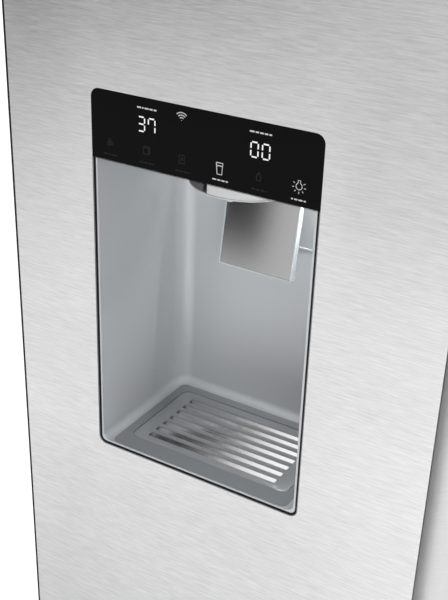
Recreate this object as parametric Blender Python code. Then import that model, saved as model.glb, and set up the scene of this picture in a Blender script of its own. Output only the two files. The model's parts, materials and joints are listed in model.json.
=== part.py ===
"""Side by side refrigerator with a water and ice dispenser in the freezer door.

Metres, +Z up. The doors face -Y, +X is to the right of someone who faces them, and the
origin is on the floor at the middle of the footprint. Doors are closed and drawers are in.
"""

import math

import bmesh
import bpy
from mathutils import Matrix, Vector

# Driving dimensions of the whole appliance
WIDTH = 0.908
DEPTH = 0.707
HEIGHT = 1.787
FRONT = -DEPTH / 2
BACK = DEPTH / 2
SIDE = WIDTH / 2
GAP = 0.0003            # kept between solids that touch
SHEET = 0.001           # sheet metal
LINER = 0.002           # thermoformed plastic

# Cabinet
CABINET_FRONT = FRONT + 0.0875
CABINET_TOP = 1.752
CABINET_BOTTOM = 0.046
FREEZER = (-0.404, -0.088)      # inside width of the freezer compartment
FRIDGE = (-0.014, 0.404)        # inside width of the fridge compartment
ROOM_FLOOR = 0.110
ROOM_STEP = 0.310               # floor over the machine compartment
ROOM_STEP_Y = 0.100
ROOM_BACK = 0.290
ROOM_TOP = 1.700
ROOM_RADIUS = 0.014
MACHINE_Y = 0.150
MACHINE_TOP = 0.260

# What the appliance stands on
FOOT = (0.395, -0.215)          # x (either side) and y of the front feet
FOOT_HOLE = 0.0056
ROLLER_X = 0.4250
AXLE = (0.270, 0.020)           # y and z of the rear axle
PAN_TOP = 0.0455

# Inside fittings
TUB_WALL = 0.0025
SHELF_THICKNESS = 0.006
FREEZER_SHELF_Z = 0.330
FRIDGE_SHELF_Z = {"upper": 0.980, "lower": 0.530}
COVER_WALL = 0.0025
FILTER_AXIS = (0.340, 1.662)    # x and z of the water filter
FAN_BLADES = 5
FAN_THICKNESS = 0.012
COOLING_X = -0.246              # middle of the evaporator fan and its outlet
DUCT_X = 0.195                  # middle of the air duct

# Doors
DOOR_BOTTOM = 0.076
DOOR_TOP = 1.749
DOOR_BACK = FRONT + 0.075
FREEZER_DOOR = (-SIDE, -0.054)
FRIDGE_DOOR = (-0.048, SIDE)
SCOOP_WIDTH = 0.030             # handle channel along the meeting edge of each door
SCOOP_DEPTH = 0.022
DIKE_Y = DOOR_BACK + 0.0365     # how far the liner's rim stands into the compartment
FREEZER_DIKE = (-0.394, -0.108)
FRIDGE_DIKE = (0.006, 0.394)
DIKE_Z = (0.125, 1.685)
DIKE_WALL = 0.008

# Hinge pins
PIVOT_X = SIDE - 0.018
PIVOT_Y = FRONT + 0.045
PIN_RADIUS = 0.0045
BUSH_RADIUS = PIN_RADIUS + 0.0005

# Dispenser, in the freezer door
OPEN_LEFT = -0.3729
OPEN_WIDTH = 0.190
OPEN_RIGHT = OPEN_LEFT + OPEN_WIDTH
OPEN_BOTTOM = 0.940
OPEN_TOP = OPEN_BOTTOM + 0.3076
OPEN_RADIUS = 0.007
PANEL_BOTTOM = OPEN_BOTTOM + 0.2547
RECESS_DEPTH = 0.121
RECESS_INSET = 0.004
RECESS_FLOOR = OPEN_BOTTOM + 0.004
RECESS_TOP = 1.204
MIDDLE = (OPEN_LEFT + OPEN_RIGHT) / 2
CHUTE_Y = FRONT + 0.065
CHUTE_RADIUS = 0.0225
CHUTE_LEAN = 0.40               # metres back for each metre up
CHUTE_LOW = 1.2000
BUMP = ((-0.390, DOOR_BACK, 0.900), (-0.170, -0.210, 1.300))
PADDLE_HINGE = (FRONT + 0.1035, 1.1975)
PADDLE_LEAN = math.atan(0.16)
PADDLE_WIDTH = 0.0673
PADDLE_DROP = 0.1075
GRILLE = ((-0.3529, -0.3355), (-0.2029, -0.2495))
GRILLE_SLOTS = 7
SLOT_PITCH = 0.0105
SLOT_HALF = 0.0031
SPOUT_RADIUS = 0.0459
SPOUT_CENTRE_Y = FRONT + 0.0699
SPOUT_BACK = FRONT + 0.0940
SPOUT_BOTTOM = 1.1750
SPOUT_WALL = 0.0020
NOZZLE = (MIDDLE + 0.0045, FRONT + 0.0360, 0)
NOZZLE_RADIUS = 0.0040
FLAP_RADIUS = 0.0235
FLAP_Z = (1.1970, 1.1985)

for thing in list(bpy.data.objects):
    bpy.data.objects.remove(thing, do_unlink=True)


# ---------------------------------------------------------------- tools

def finish(name, colour, roughness, metallic=0.0):
    """A Principled material, made once for each name."""
    made = bpy.data.materials.get(name)
    if made is None:
        made = bpy.data.materials.new(name)
        made.use_nodes = True
        shader = made.node_tree.nodes["Principled BSDF"]
        shader.inputs["Base Color"].default_value = (*colour, 1.0)
        shader.inputs["Roughness"].default_value = roughness
        shader.inputs["Metallic"].default_value = metallic
        made.diffuse_color = (*colour, 1.0)
    return made


STAINLESS = finish("brushed_stainless", (0.62, 0.62, 0.62), 0.32, 1.0)
PAINT = finish("painted_steel", (0.30, 0.31, 0.32), 0.45)
ZINC = finish("zinc_plate", (0.55, 0.56, 0.57), 0.40, 1.0)
WHITE = finish("white_liner", (0.86, 0.87, 0.87), 0.40)
FOAM = finish("foam", (0.80, 0.70, 0.45), 0.90)
RUBBER = finish("gasket_rubber", (0.55, 0.56, 0.57), 0.80)
GREY = finish("grey_plastic", (0.42, 0.44, 0.46), 0.40)
DARK = finish("dark_plastic", (0.04, 0.04, 0.045), 0.45)
BLACK_GLASS = finish("black_glass", (0.01, 0.01, 0.01), 0.08)
SILVER = finish("silver_plastic", (0.72, 0.71, 0.72), 0.30)
CLEAR = finish("clear_plastic", (0.80, 0.87, 0.90), 0.12)
GLASS = finish("shelf_glass", (0.70, 0.80, 0.78), 0.05)
ALUMINIUM = finish("aluminium", (0.72, 0.73, 0.74), 0.35, 1.0)
BLACK_PAINT = finish("black_paint", (0.02, 0.02, 0.02), 0.40)


def put(name, mesh_builder, look):
    """Turns a bmesh into a named object."""
    bmesh.ops.recalc_face_normals(mesh_builder, faces=mesh_builder.faces)
    mesh = bpy.data.meshes.new(name)
    mesh_builder.to_mesh(mesh)
    mesh_builder.free()
    made = bpy.data.objects.new(name, mesh)
    bpy.context.scene.collection.objects.link(made)
    if look is not None:
        mesh.materials.append(look)
    return made


def smooth(made, degrees=35):
    made.data.shade_smooth()
    made.data.set_sharp_from_angle(angle=math.radians(degrees))
    return made


def add_block(builder, low, high):
    sides = [b - a for a, b in zip(low, high)]
    centre = [(a + b) / 2 for a, b in zip(low, high)]
    place = Matrix.Translation(centre) @ Matrix.Diagonal((*sides, 1.0))
    bmesh.ops.create_cube(builder, size=1.0, matrix=place)


def block(name, low, high, look=None):
    builder = bmesh.new()
    add_block(builder, low, high)
    return put(name, builder, look)


def blocks(name, pairs, look=None):
    """Several separate cuboids in one mesh, for use as a cutter."""
    builder = bmesh.new()
    for low, high in pairs:
        add_block(builder, low, high)
    return put(name, builder, look)


def placed(axis, a, b, along):
    """A point whose first two values lie across the axis and whose third lies along it."""
    return {"X": (along, a, b), "Y": (a, along, b), "Z": (a, b, along)}[axis]


def prism(name, outline, axis, low, high, look=None):
    """An outline pulled along an axis: (y, z) for X, (x, z) for Y and (x, y) for Z."""
    builder = bmesh.new()
    ends = []
    for along in (low, high):
        ring = [builder.verts.new(placed(axis, a, b, along)) for a, b in outline]
        ends.append(ring)
    count = len(outline)
    builder.faces.new(ends[0])
    builder.faces.new(ends[1])
    for i in range(count):
        j = (i + 1) % count
        builder.faces.new((ends[0][i], ends[0][j], ends[1][j], ends[1][i]))
    return put(name, builder, look)


def arc(centre, radii, start, stop, steps):
    """Points on an ellipse from one angle to another, in degrees."""
    points = []
    for i in range(steps + 1):
        turn = math.radians(start + (stop - start) * i / steps)
        points.append((centre[0] + radii[0] * math.cos(turn), centre[1] + radii[1] * math.sin(turn)))
    return points


def rounded(low, high, radius, steps=3):
    """A rectangle with round corners. The radius may be one value or four, from low-low round."""
    radii = (radius,) * 4 if isinstance(radius, (int, float)) else radius
    corners = ((low[0], low[1], 1, 1), (high[0], low[1], -1, 1),
               (high[0], high[1], -1, -1), (low[0], high[1], 1, -1))
    points = []
    for (x, z, dx, dz), size, start in zip(corners, radii, (180, 270, 0, 90)):
        if size == 0:
            points.append((x, z))
        else:
            points += arc((x + dx * size, z + dz * size), (size, size), start, start + 90, steps)
    return points


def turned(name, profile, centre, axis, look=None, steps=24):
    """A closed profile of (radius, distance along the axis), turned about the axis."""
    builder = bmesh.new()
    rings = []
    for radius, along in profile:
        ring = []
        for i in range(1 if radius == 0 else steps):
            turn = 2 * math.pi * i / steps
            a = radius * math.cos(turn)
            b = radius * math.sin(turn)
            point = Vector(placed(axis, a, b, along)) + Vector(centre)
            ring.append(builder.verts.new(point))
        rings.append(ring)
    for first, second in zip(rings, rings[1:]):
        for i in range(steps):
            j = (i + 1) % steps
            corners = [first[i % len(first)], first[j % len(first)],
                       second[j % len(second)], second[i % len(second)]]
            unique = list(dict.fromkeys(corners))
            builder.faces.new(unique)
    for ring in (rings[0], rings[-1]):
        if len(ring) > 1:
            builder.faces.new(ring)
    return smooth(put(name, builder, look))


def rod(name, centre, axis, radius, low, high, look=None, steps=20):
    return turned(name, [(radius, low), (radius, high)], centre, axis, look, steps)


def boolean(target, tool, operation, solver="EXACT"):
    tool.hide_render = True
    tool.display_type = "WIRE"
    step = target.modifiers.new(operation.lower() + "_" + tool.name, "BOOLEAN")
    step.operation = operation
    step.solver = solver
    step.object = tool
    return target


def cut(target, *tools):
    for tool in tools:
        boolean(target, tool, "DIFFERENCE")
    return target


def fuse(target, *tools):
    for tool in tools:
        boolean(target, tool, "UNION")
    return target


def soften(target, width, segments=2, degrees=40):
    step = target.modifiers.new("bevel", "BEVEL")
    step.width = width
    step.segments = segments
    step.limit_method = "ANGLE"
    step.angle_limit = math.radians(degrees)
    return target


def grown(low, high, amount):
    return [a - amount for a in low], [b + amount for b in high]


# ---------------------------------------------------------------- cabinet

def room(name, width, grow, front, radius):
    """The space inside a compartment, or its liner's outside when grow is over zero."""
    outline = [
        (front, ROOM_FLOOR - grow),
        (ROOM_STEP_Y + grow, ROOM_FLOOR - grow),
        (ROOM_STEP_Y + grow, ROOM_STEP - grow),
        (ROOM_BACK + grow, ROOM_STEP - grow),
        (ROOM_BACK + grow, ROOM_TOP + grow),
        (front, ROOM_TOP + grow),
    ]
    made = prism(name, outline, "X", width[0] - grow, width[1] + grow)
    return soften(made, radius, 2)


def build_liner(name, width):
    made = room(name, width, LINER, CABINET_FRONT - 0.08, ROOM_RADIUS + LINER)
    made.data.materials.append(WHITE)
    inside = room(name + "_inside", width, 0.0, CABINET_FRONT - 0.12, ROOM_RADIUS)
    ahead = block(name + "_ahead", (-1, -1, 0), (1, CABINET_FRONT + 0.0018, 2))
    boolean(made, inside, "DIFFERENCE", "MANIFOLD")
    return boolean(made, ahead, "DIFFERENCE", "MANIFOLD")


def build_cabinet():
    outer = [(-SIDE, CABINET_BOTTOM), (-SIDE, CABINET_TOP), (SIDE, CABINET_TOP), (SIDE, CABINET_BOTTOM)]
    inner = [(SIDE - SHEET, CABINET_BOTTOM), (SIDE - SHEET, CABINET_TOP - SHEET),
             (-SIDE + SHEET, CABINET_TOP - SHEET), (-SIDE + SHEET, CABINET_BOTTOM)]
    prism("cabinet_shell", outer + inner, "Y", CABINET_FRONT + 0.0015, BACK - 0.0013, PAINT)

    edge = SIDE - SHEET - GAP
    foam = block("cabinet_foam", (-edge, CABINET_FRONT + 0.0018, CABINET_BOTTOM + 0.0023),
                 (edge, BACK - 0.0016, CABINET_TOP - SHEET - GAP), FOAM)
    notch = block("machine_notch", (-1, MACHINE_Y, 0), (1, 1, MACHINE_TOP))
    pockets = []
    for name, width in (("freezer", FREEZER), ("fridge", FRIDGE)):
        pockets.append(room(name + "_pocket", width, LINER + GAP, CABINET_FRONT - 0.05,
                            ROOM_RADIUS + LINER + GAP))
    cut(foam, notch, *pockets)

    build_liner("freezer_liner", FREEZER)
    build_liner("fridge_liner", FRIDGE)

    frame = block("front_frame", (-SIDE + 0.0005, CABINET_FRONT, 0.072),
                  (SIDE - 0.0005, CABINET_FRONT + 0.0012, CABINET_TOP - 0.0005), PAINT)
    for name, width in (("freezer_mouth", FREEZER), ("fridge_mouth", FRIDGE)):
        shape = rounded((width[0], ROOM_FLOOR), (width[1], ROOM_TOP), ROOM_RADIUS, 3)
        cut(frame, prism(name, shape, "Y", CABINET_FRONT - 0.1, CABINET_FRONT + 0.1))

    block("rear_panel", (-SIDE + 0.0015, BACK - SHEET, MACHINE_TOP + 0.002),
          (SIDE - 0.0015, BACK, CABINET_TOP - 0.002), ZINC)


def build_base():
    edge = SIDE - 0.002
    pan = block("base_pan", (-edge, CABINET_FRONT + 0.006, PAN_TOP - 0.0020), (edge, BACK - 0.0035, PAN_TOP),
                ZINC)
    for side, word in ((-1, "left"), (1, "right")):
        low_x, high_x = sorted((side * edge, side * (edge - 0.002)))
        fuse(pan, block(f"pan_flange_{word}", (low_x, -0.240, 0.014), (high_x, 0.340, PAN_TOP - 0.0005)))
        low_x, high_x = sorted((side * 0.400, side * 0.402))
        fuse(pan, block(f"pan_bracket_{word}", (low_x, 0.235, 0.010), (high_x, 0.305, PAN_TOP - 0.0005)))
    for side, word in ((-1, "left"), (1, "right")):
        cut(pan, rod(f"axle_hole_{word}", (0, *AXLE), "X", PIN_RADIUS,
                     *sorted((side * 0.39, side * 0.47)), steps=12))
        cut(pan, rod(f"foot_hole_{word}", (side * FOOT[0], FOOT[1], 0), "Z", FOOT_HOLE, 0.03, 0.06, steps=16))
        profile = [(0.0040, -0.0245), (0.0040, -0.0150), (0.0180, -0.0150), (0.0200, -0.0130),
                   (0.0200, 0.0130), (0.0180, 0.0150), (0.0040, 0.0150), (0.0040, 0.0260)]
        wheel = [(r, side * a) for r, a in profile]
        turned(f"rear_roller_{word}", wheel, (side * ROLLER_X, *AXLE), "X", DARK, 32)
        foot = [(0.0170, 0.0), (0.0190, 0.0020), (0.0190, 0.0080), (0.0150, 0.0105),
                (0.0050, 0.0105), (0.0050, 0.0475)]
        turned(f"front_foot_{word}", foot, (side * FOOT[0], FOOT[1], 0), "Z", DARK, 24)


def build_toe_grille():
    low = (-0.400, CABINET_FRONT - 0.0640, 0.0120)
    high = (0.400, CABINET_FRONT - 0.0008, 0.0680)
    made = block("toe_grille", low, high, PAINT)
    hollow = block("toe_hollow", [v + COVER_WALL for v in low],
                   (high[0] - COVER_WALL, high[1] + 0.01, high[2] - COVER_WALL))
    slots = []
    row_pitch, column_pitch = 0.013, 0.125
    for row in range(3):
        z = 0.024 + row * row_pitch
        for column in range(6):
            x = -0.370 + column * column_pitch
            slots.append(((x, low[1] - 0.01, z), (x + 0.115, low[1] + 0.01, z + 0.006)))
    cut(made, hollow, blocks("toe_slots", slots))


def build_hinges():
    for side, word in ((-1, "left"), (1, "right")):
        near, far = sorted((side * 0.450, side * 0.412))
        pin_x = side * PIVOT_X
        top = block(f"top_hinge_{word}", (near, PIVOT_Y - 0.025, CABINET_TOP + 0.0005),
                    (far, -0.200, CABINET_TOP + 0.0045), ZINC)
        fuse(top, rod(f"top_pin_{word}", (pin_x, PIVOT_Y, 0), "Z", PIN_RADIUS,
                      1.7250, CABINET_TOP + 0.0030, steps=20))
        low = block(f"bottom_hinge_{word}", (near, PIVOT_Y - 0.025, 0.0685),
                    (far, CABINET_FRONT - 0.0008, 0.0725), ZINC)
        fuse(low, block(f"bottom_tab_{word}", (near, CABINET_FRONT - 0.0035, 0.0465),
                        (far, CABINET_FRONT - 0.0008, 0.0720)))
        fuse(low, rod(f"bottom_pin_{word}", (pin_x, PIVOT_Y, 0), "Z", PIN_RADIUS,
                      0.0700, 0.0950, steps=20))
        near, far = sorted((side * (SIDE - 0.0005), side * 0.390))
        cover_front, cover_back = FRONT + 0.0085, -0.150
        cover = block(f"hinge_cover_{word}", (near, cover_front, CABINET_TOP + 0.0004),
                      (far, cover_back, HEIGHT), DARK)
        soften(cover, 0.004, 2)
        inside = block(f"hinge_cover_inside_{word}",
                       (near + COVER_WALL, cover_front + COVER_WALL, CABINET_TOP - 0.02),
                       (far - COVER_WALL, cover_back - COVER_WALL, HEIGHT - COVER_WALL))
        level = block(f"hinge_cover_level_{word}", (near - 1, -1, CABINET_TOP - 0.05),
                      (far + 1, 1, CABINET_TOP + 0.0006))
        cut(cover, inside, level)


def comb(name, low, high, fins, spine, look):
    """A finned block: fins stand up from a spine along the bottom. It is one body."""
    pitch = (high[0] - low[0]) / (fins - 0.5)
    outline = [(low[0], low[2])]
    outline.append((high[0], low[2]))
    for i in range(fins):
        right = high[0] - i * pitch
        outline.append((right, high[2]))
        outline.append((right - pitch / 2, high[2]))
        if i < fins - 1:
            outline.append((right - pitch / 2, low[2] + spine))
            outline.append((right - pitch, low[2] + spine))
    return prism(name, outline, "Y", low[1], high[1], look)


def fan(name, centre, axis, radius, look):
    """A hub with blades, in one outline."""
    outline = []
    hub = radius * 0.28
    for blade in range(FAN_BLADES):
        start = blade * 360 / FAN_BLADES
        outline += arc((0, 0), (radius, radius), start, start + 42, 3)
        outline += arc((0, 0), (hub, hub), start + 48, start + 66, 2)
    made = prism(name, outline, axis, -FAN_THICKNESS / 2, FAN_THICKNESS / 2, look)
    made.location = centre
    return made


def build_machine():
    cover = block("machine_cover", (-0.446, BACK - 0.002, 0.050), (0.446, BACK, 0.258), ZINC)
    slots = []
    row_pitch, column_pitch = 0.032, 0.135
    for row in range(5):
        z = 0.080 + row * row_pitch
        for column in range(6):
            x = -0.400 + column * column_pitch
            slots.append(((x, BACK - 0.01, z), (x + 0.120, BACK + 0.01, z + 0.010)))
    cut(cover, blocks("machine_slots", slots))
    can = [(0.0, 0.0490), (0.0600, 0.0490), (0.0740, 0.0620), (0.0760, 0.1180), (0.0780, 0.1200),
           (0.0780, 0.1260), (0.0760, 0.1280), (0.0740, 0.1800), (0.0560, 0.2080), (0.0, 0.2150)]
    turned("compressor", can, (0.335, 0.252, 0), "Z", BLACK_PAINT, 28)
    comb("condenser", (-0.080, 0.190, 0.062), (0.130, 0.320, 0.220), 12, 0.012, ALUMINIUM)
    fan("condenser_fan", (0.185, 0.252, 0.142), "X", 0.075, DARK)


def build_cooling():
    low = (FREEZER[0] + 0.016, 0.220, 0.550)
    high = (FREEZER[1] - 0.016, ROOM_BACK - 0.0004, 1.330)
    cover = block("evaporator_cover", low, high, WHITE)
    hollow = block("cover_hollow", [v + COVER_WALL for v in low],
                   (high[0] - COVER_WALL, high[1] + 0.01, high[2] - COVER_WALL))
    slots = []
    pitch, height = 0.018, 0.008
    for row in range(4):
        z = 0.600 + row * pitch
        slots.append(((low[0] + 0.05, low[1] - 0.01, z), (high[0] - 0.05, low[1] + 0.01, z + height)))
    for row in range(5):
        z = 1.190 + row * pitch
        half = 0.030 + 0.010 * (2 - abs(row - 2))
        slots.append(((COOLING_X - half, low[1] - 0.01, z), (COOLING_X + half, low[1] + 0.01, z + height)))
    cut(cover, hollow, blocks("cover_slots", slots))
    comb("evaporator", (-0.382, 0.232, 0.700), (-0.110, 0.284, 1.080), 14, 0.014, ALUMINIUM)
    fan("evaporator_fan", (COOLING_X, 0.252, 1.230), "Y", 0.048, WHITE)

    low = (DUCT_X - 0.045, 0.262, 0.560)
    high = (DUCT_X + 0.045, ROOM_BACK - 0.0004, 1.640)
    duct = block("air_duct", low, high, WHITE)
    hollow = block("duct_hollow", [v + COVER_WALL for v in low],
                   (high[0] - COVER_WALL, high[1] + 0.03, high[2] - COVER_WALL))
    vents = []
    pitch = 0.260
    for row in range(4):
        for side in (-1, 1):
            x = DUCT_X + side * 0.020
            z = 0.720 + row * pitch
            vents.append(((x - 0.014, 0.25, z), (x + 0.014, 0.27, z + 0.030)))
    cut(duct, hollow, blocks("duct_vents", vents))


def tub(name, low, high, wall, look, radius=0.010):
    """An open-topped box with round upright edges."""
    outer = rounded(low[:2], high[:2], radius, 2)
    inner = rounded((low[0] + wall, low[1] + wall), (high[0] - wall, high[1] - wall), radius - wall, 2)
    made = prism(name, outer, "Z", low[2], high[2], look)
    return cut(made, prism(name + "_hollow", inner, "Z", low[2] + wall, high[2] + 0.1))


def build_freezer_room():
    block("freezer_shelf", (FREEZER[0] + 0.0025, -0.150, FREEZER_SHELF_Z),
          (FREEZER[1] - 0.0025, 0.280, FREEZER_SHELF_Z + SHELF_THICKNESS), GLASS)
    tub("freezer_drawer", (-0.378, -0.162, 0.116), (-0.114, 0.090, 0.300), TUB_WALL, CLEAR)
    maker = block("ice_maker", (-0.380, -0.020, 1.520), (-0.150, 0.180, 1.620), WHITE)
    fuse(maker, block("ice_maker_motor", (-0.160, -0.030, 1.515), (-0.110, 0.190, 1.640)))
    trays = []
    cup_pitch, cup_width = 0.035, 0.028
    for i in range(6):
        x = -0.372 + i * cup_pitch
        trays.append(((x, -0.010, 1.590), (x + cup_width, 0.170, 1.640)))
    cut(maker, blocks("ice_maker_cups", trays))
    fuse(maker, block("ice_maker_hanger", (-0.340, 0.050, 1.610), (-0.130, 0.110, ROOM_TOP - 0.001)))
    bucket = tub("ice_bucket", (-0.380, -0.160, 1.340), (-0.112, 0.180, 1.480), 0.003, CLEAR)
    mouth = block("ice_bucket_mouth", (MIDDLE - 0.030, -0.140, 1.3), (MIDDLE + 0.030, -0.080, 1.36))
    cut(bucket, mouth)


def build_fridge_room():
    for word, z in FRIDGE_SHELF_Z.items():
        block(f"fridge_shelf_{word}", (FRIDGE[0] + 0.0025, -0.120, z),
              (FRIDGE[1] - 0.0025, 0.255, z + SHELF_THICKNESS), GLASS)
    tub("crisper_lower", (0.014, -0.138, 0.116), (0.378, 0.090, 0.300), TUB_WALL, CLEAR)
    tub("crisper_upper", (0.014, -0.138, 0.330), (0.378, 0.250, 0.510), TUB_WALL, CLEAR)
    holder = block("filter_housing", (0.300, -0.010, 1.630), (0.380, 0.120, ROOM_TOP - 0.0005), WHITE)
    axis = (FILTER_AXIS[0], 0, FILTER_AXIS[1])
    bore = rod("filter_bore", axis, "Y", 0.0290, -0.2, 0.105, steps=24)
    cut(holder, bore)
    cartridge = [(0.0, -0.110), (0.0240, -0.110), (0.0275, -0.104), (0.0275, 0.100), (0.0, 0.100)]
    can = turned("water_filter", cartridge, axis, "Y", WHITE, 24)
    fuse(can, block("filter_grip", (0.3365, -0.124, 1.640), (0.3435, -0.105, 1.684)))


# ---------------------------------------------------------------- doors

def scoop(edge, direction, shrink, start=0, stop=90, steps=7):
    """The handle channel's curve: a quarter ellipse from the flat front to the door's edge."""
    points = arc((0, FRONT), (-(SCOOP_WIDTH + shrink), SCOOP_DEPTH + shrink), start, stop, steps)
    return [(edge + direction * x, y) for x, y in points]


def build_door_sheets(word, span, hinge_side):
    """The wrapped sheet front and the handle channel. hinge_side is -1 on the left."""
    inward = -hinge_side
    outer_x = span[0] if hinge_side < 0 else span[1]
    edge_x = span[1] if hinge_side < 0 else span[0]
    flat_x = edge_x - inward * SCOOP_WIDTH
    x_low, x_high = sorted((outer_x, flat_x))
    skin = block(f"{word}_door_skin", (x_low, FRONT, DOOR_BOTTOM), (x_high, DOOR_BACK, DOOR_TOP), STAINLESS)
    upright = skin.modifiers.new("edge_rounding", "BEVEL")
    upright.width = 0.0008
    upright.segments = 2
    upright.limit_method = "ANGLE"
    hollow = block(f"{word}_skin_hollow", (x_low + SHEET, FRONT + SHEET, DOOR_BOTTOM + SHEET),
                   (x_high - SHEET, 0, DOOR_TOP - SHEET))
    low, high = sorted((flat_x - inward * 0.002, flat_x + inward * 0.01))
    free = block(f"{word}_skin_return", (low, FRONT + 0.012, 0), (high, 0, 2))
    cut(skin, hollow, free)

    start_x = flat_x + inward * GAP
    outer = [(start_x, FRONT + 0.0004)]
    outer += scoop(edge_x, inward, -GAP, 0, 90, 9)[1:]
    outer += [(edge_x, DOOR_BACK), (edge_x - inward * 0.0015, DOOR_BACK)]
    back = scoop(edge_x, inward, 0.0012, 87.2, 20.0, 7)
    outer += back
    outer.append((start_x, back[-1][1]))
    handle = prism(f"{word}_door_handle", outer, "Z", DOOR_BOTTOM, DOOR_TOP, STAINLESS)
    smooth(handle)

    inside = [(outer_x + inward * (SHEET + GAP), FRONT + SHEET + GAP),
              (flat_x - inward * (SHEET + GAP), FRONT + SHEET + GAP),
              (flat_x - inward * (SHEET + GAP), FRONT + 0.0123)]
    inside += scoop(edge_x, inward, 0.0018, 42, 86.6, 5)
    inside += [(edge_x - inward * 0.0018, DOOR_BACK - 0.0028),
               (outer_x + inward * (SHEET + GAP), DOOR_BACK - 0.0028)]
    core = prism(f"{word}_door_core", inside, "Z", DOOR_BOTTOM + SHEET + GAP,
                 DOOR_TOP - SHEET - GAP, FOAM)
    for tool, low_z, high_z in (("top", 1.7200, 1.80), ("bottom", 0.05, 0.1000)):
        for piece, made in (("skin", skin), ("core", core)):
            cut(made, rod(f"{word}_{piece}_{tool}_bush", (hinge_side * PIVOT_X, PIVOT_Y, 0), "Z",
                          BUSH_RADIUS, low_z, high_z, steps=20))
    return skin, core


def build_door_liner(word, span, dike, gasket):
    """The white inner panel with its rim, and the rubber seal round it."""
    low_x, high_x = span
    plate = block(f"{word}_door_liner", (low_x + 0.0016, DOOR_BACK - 0.0025, DOOR_BOTTOM + 0.0016),
                  (high_x - 0.0021, DOOR_BACK, DOOR_TOP - 0.0016), WHITE)
    outer = rounded((dike[0], DIKE_Z[0]), (dike[1], DIKE_Z[1]), 0.014, 3)
    inner = rounded((dike[0] + DIKE_WALL, DIKE_Z[0] + DIKE_WALL),
                    (dike[1] - DIKE_WALL, DIKE_Z[1] - DIKE_WALL), 0.008, 3)
    rim = prism(f"{word}_dike", outer, "Y", DOOR_BACK - 0.0015, DIKE_Y)
    fuse(plate, cut(rim, prism(f"{word}_dike_hollow", inner, "Y", DOOR_BACK - 0.1, DIKE_Y + 0.1)))
    width = 0.020
    low_z, high_z = 0.080, 1.742
    shape = rounded((gasket[0], low_z), (gasket[1], high_z), 0.010, 3)
    seal = prism(f"{word}_door_gasket", shape, "Y", DOOR_BACK + GAP, CABINET_FRONT - 0.0005, RUBBER)
    hole = rounded((gasket[0] + width, low_z + width), (gasket[1] - width, high_z - width), 0.006, 3)
    cut(seal, prism(f"{word}_gasket_hole", hole, "Y", -0.4, 0))
    return plate


def opening(inset, top=None):
    """The dispenser's outline in the door front, drawn in by an inset. A given top is square."""
    radius = max(OPEN_RADIUS - inset, 0.0015)
    high = OPEN_TOP - inset if top is None else top
    radii = radius if top is None else (radius, radius, 0, 0)
    return rounded((OPEN_LEFT + inset, OPEN_BOTTOM + inset), (OPEN_RIGHT - inset, high), radii, 4)


def chute(name, radius, low, high, look=None):
    """A leaning round tube or plug, for the ice."""
    made = rod(name, (MIDDLE, CHUTE_Y, 0), "Z", radius, low, high, look, steps=20)
    for vertex in made.data.vertices:
        vertex.co.y += (vertex.co.z - CHUTE_LOW) * CHUTE_LEAN
    return made


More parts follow.
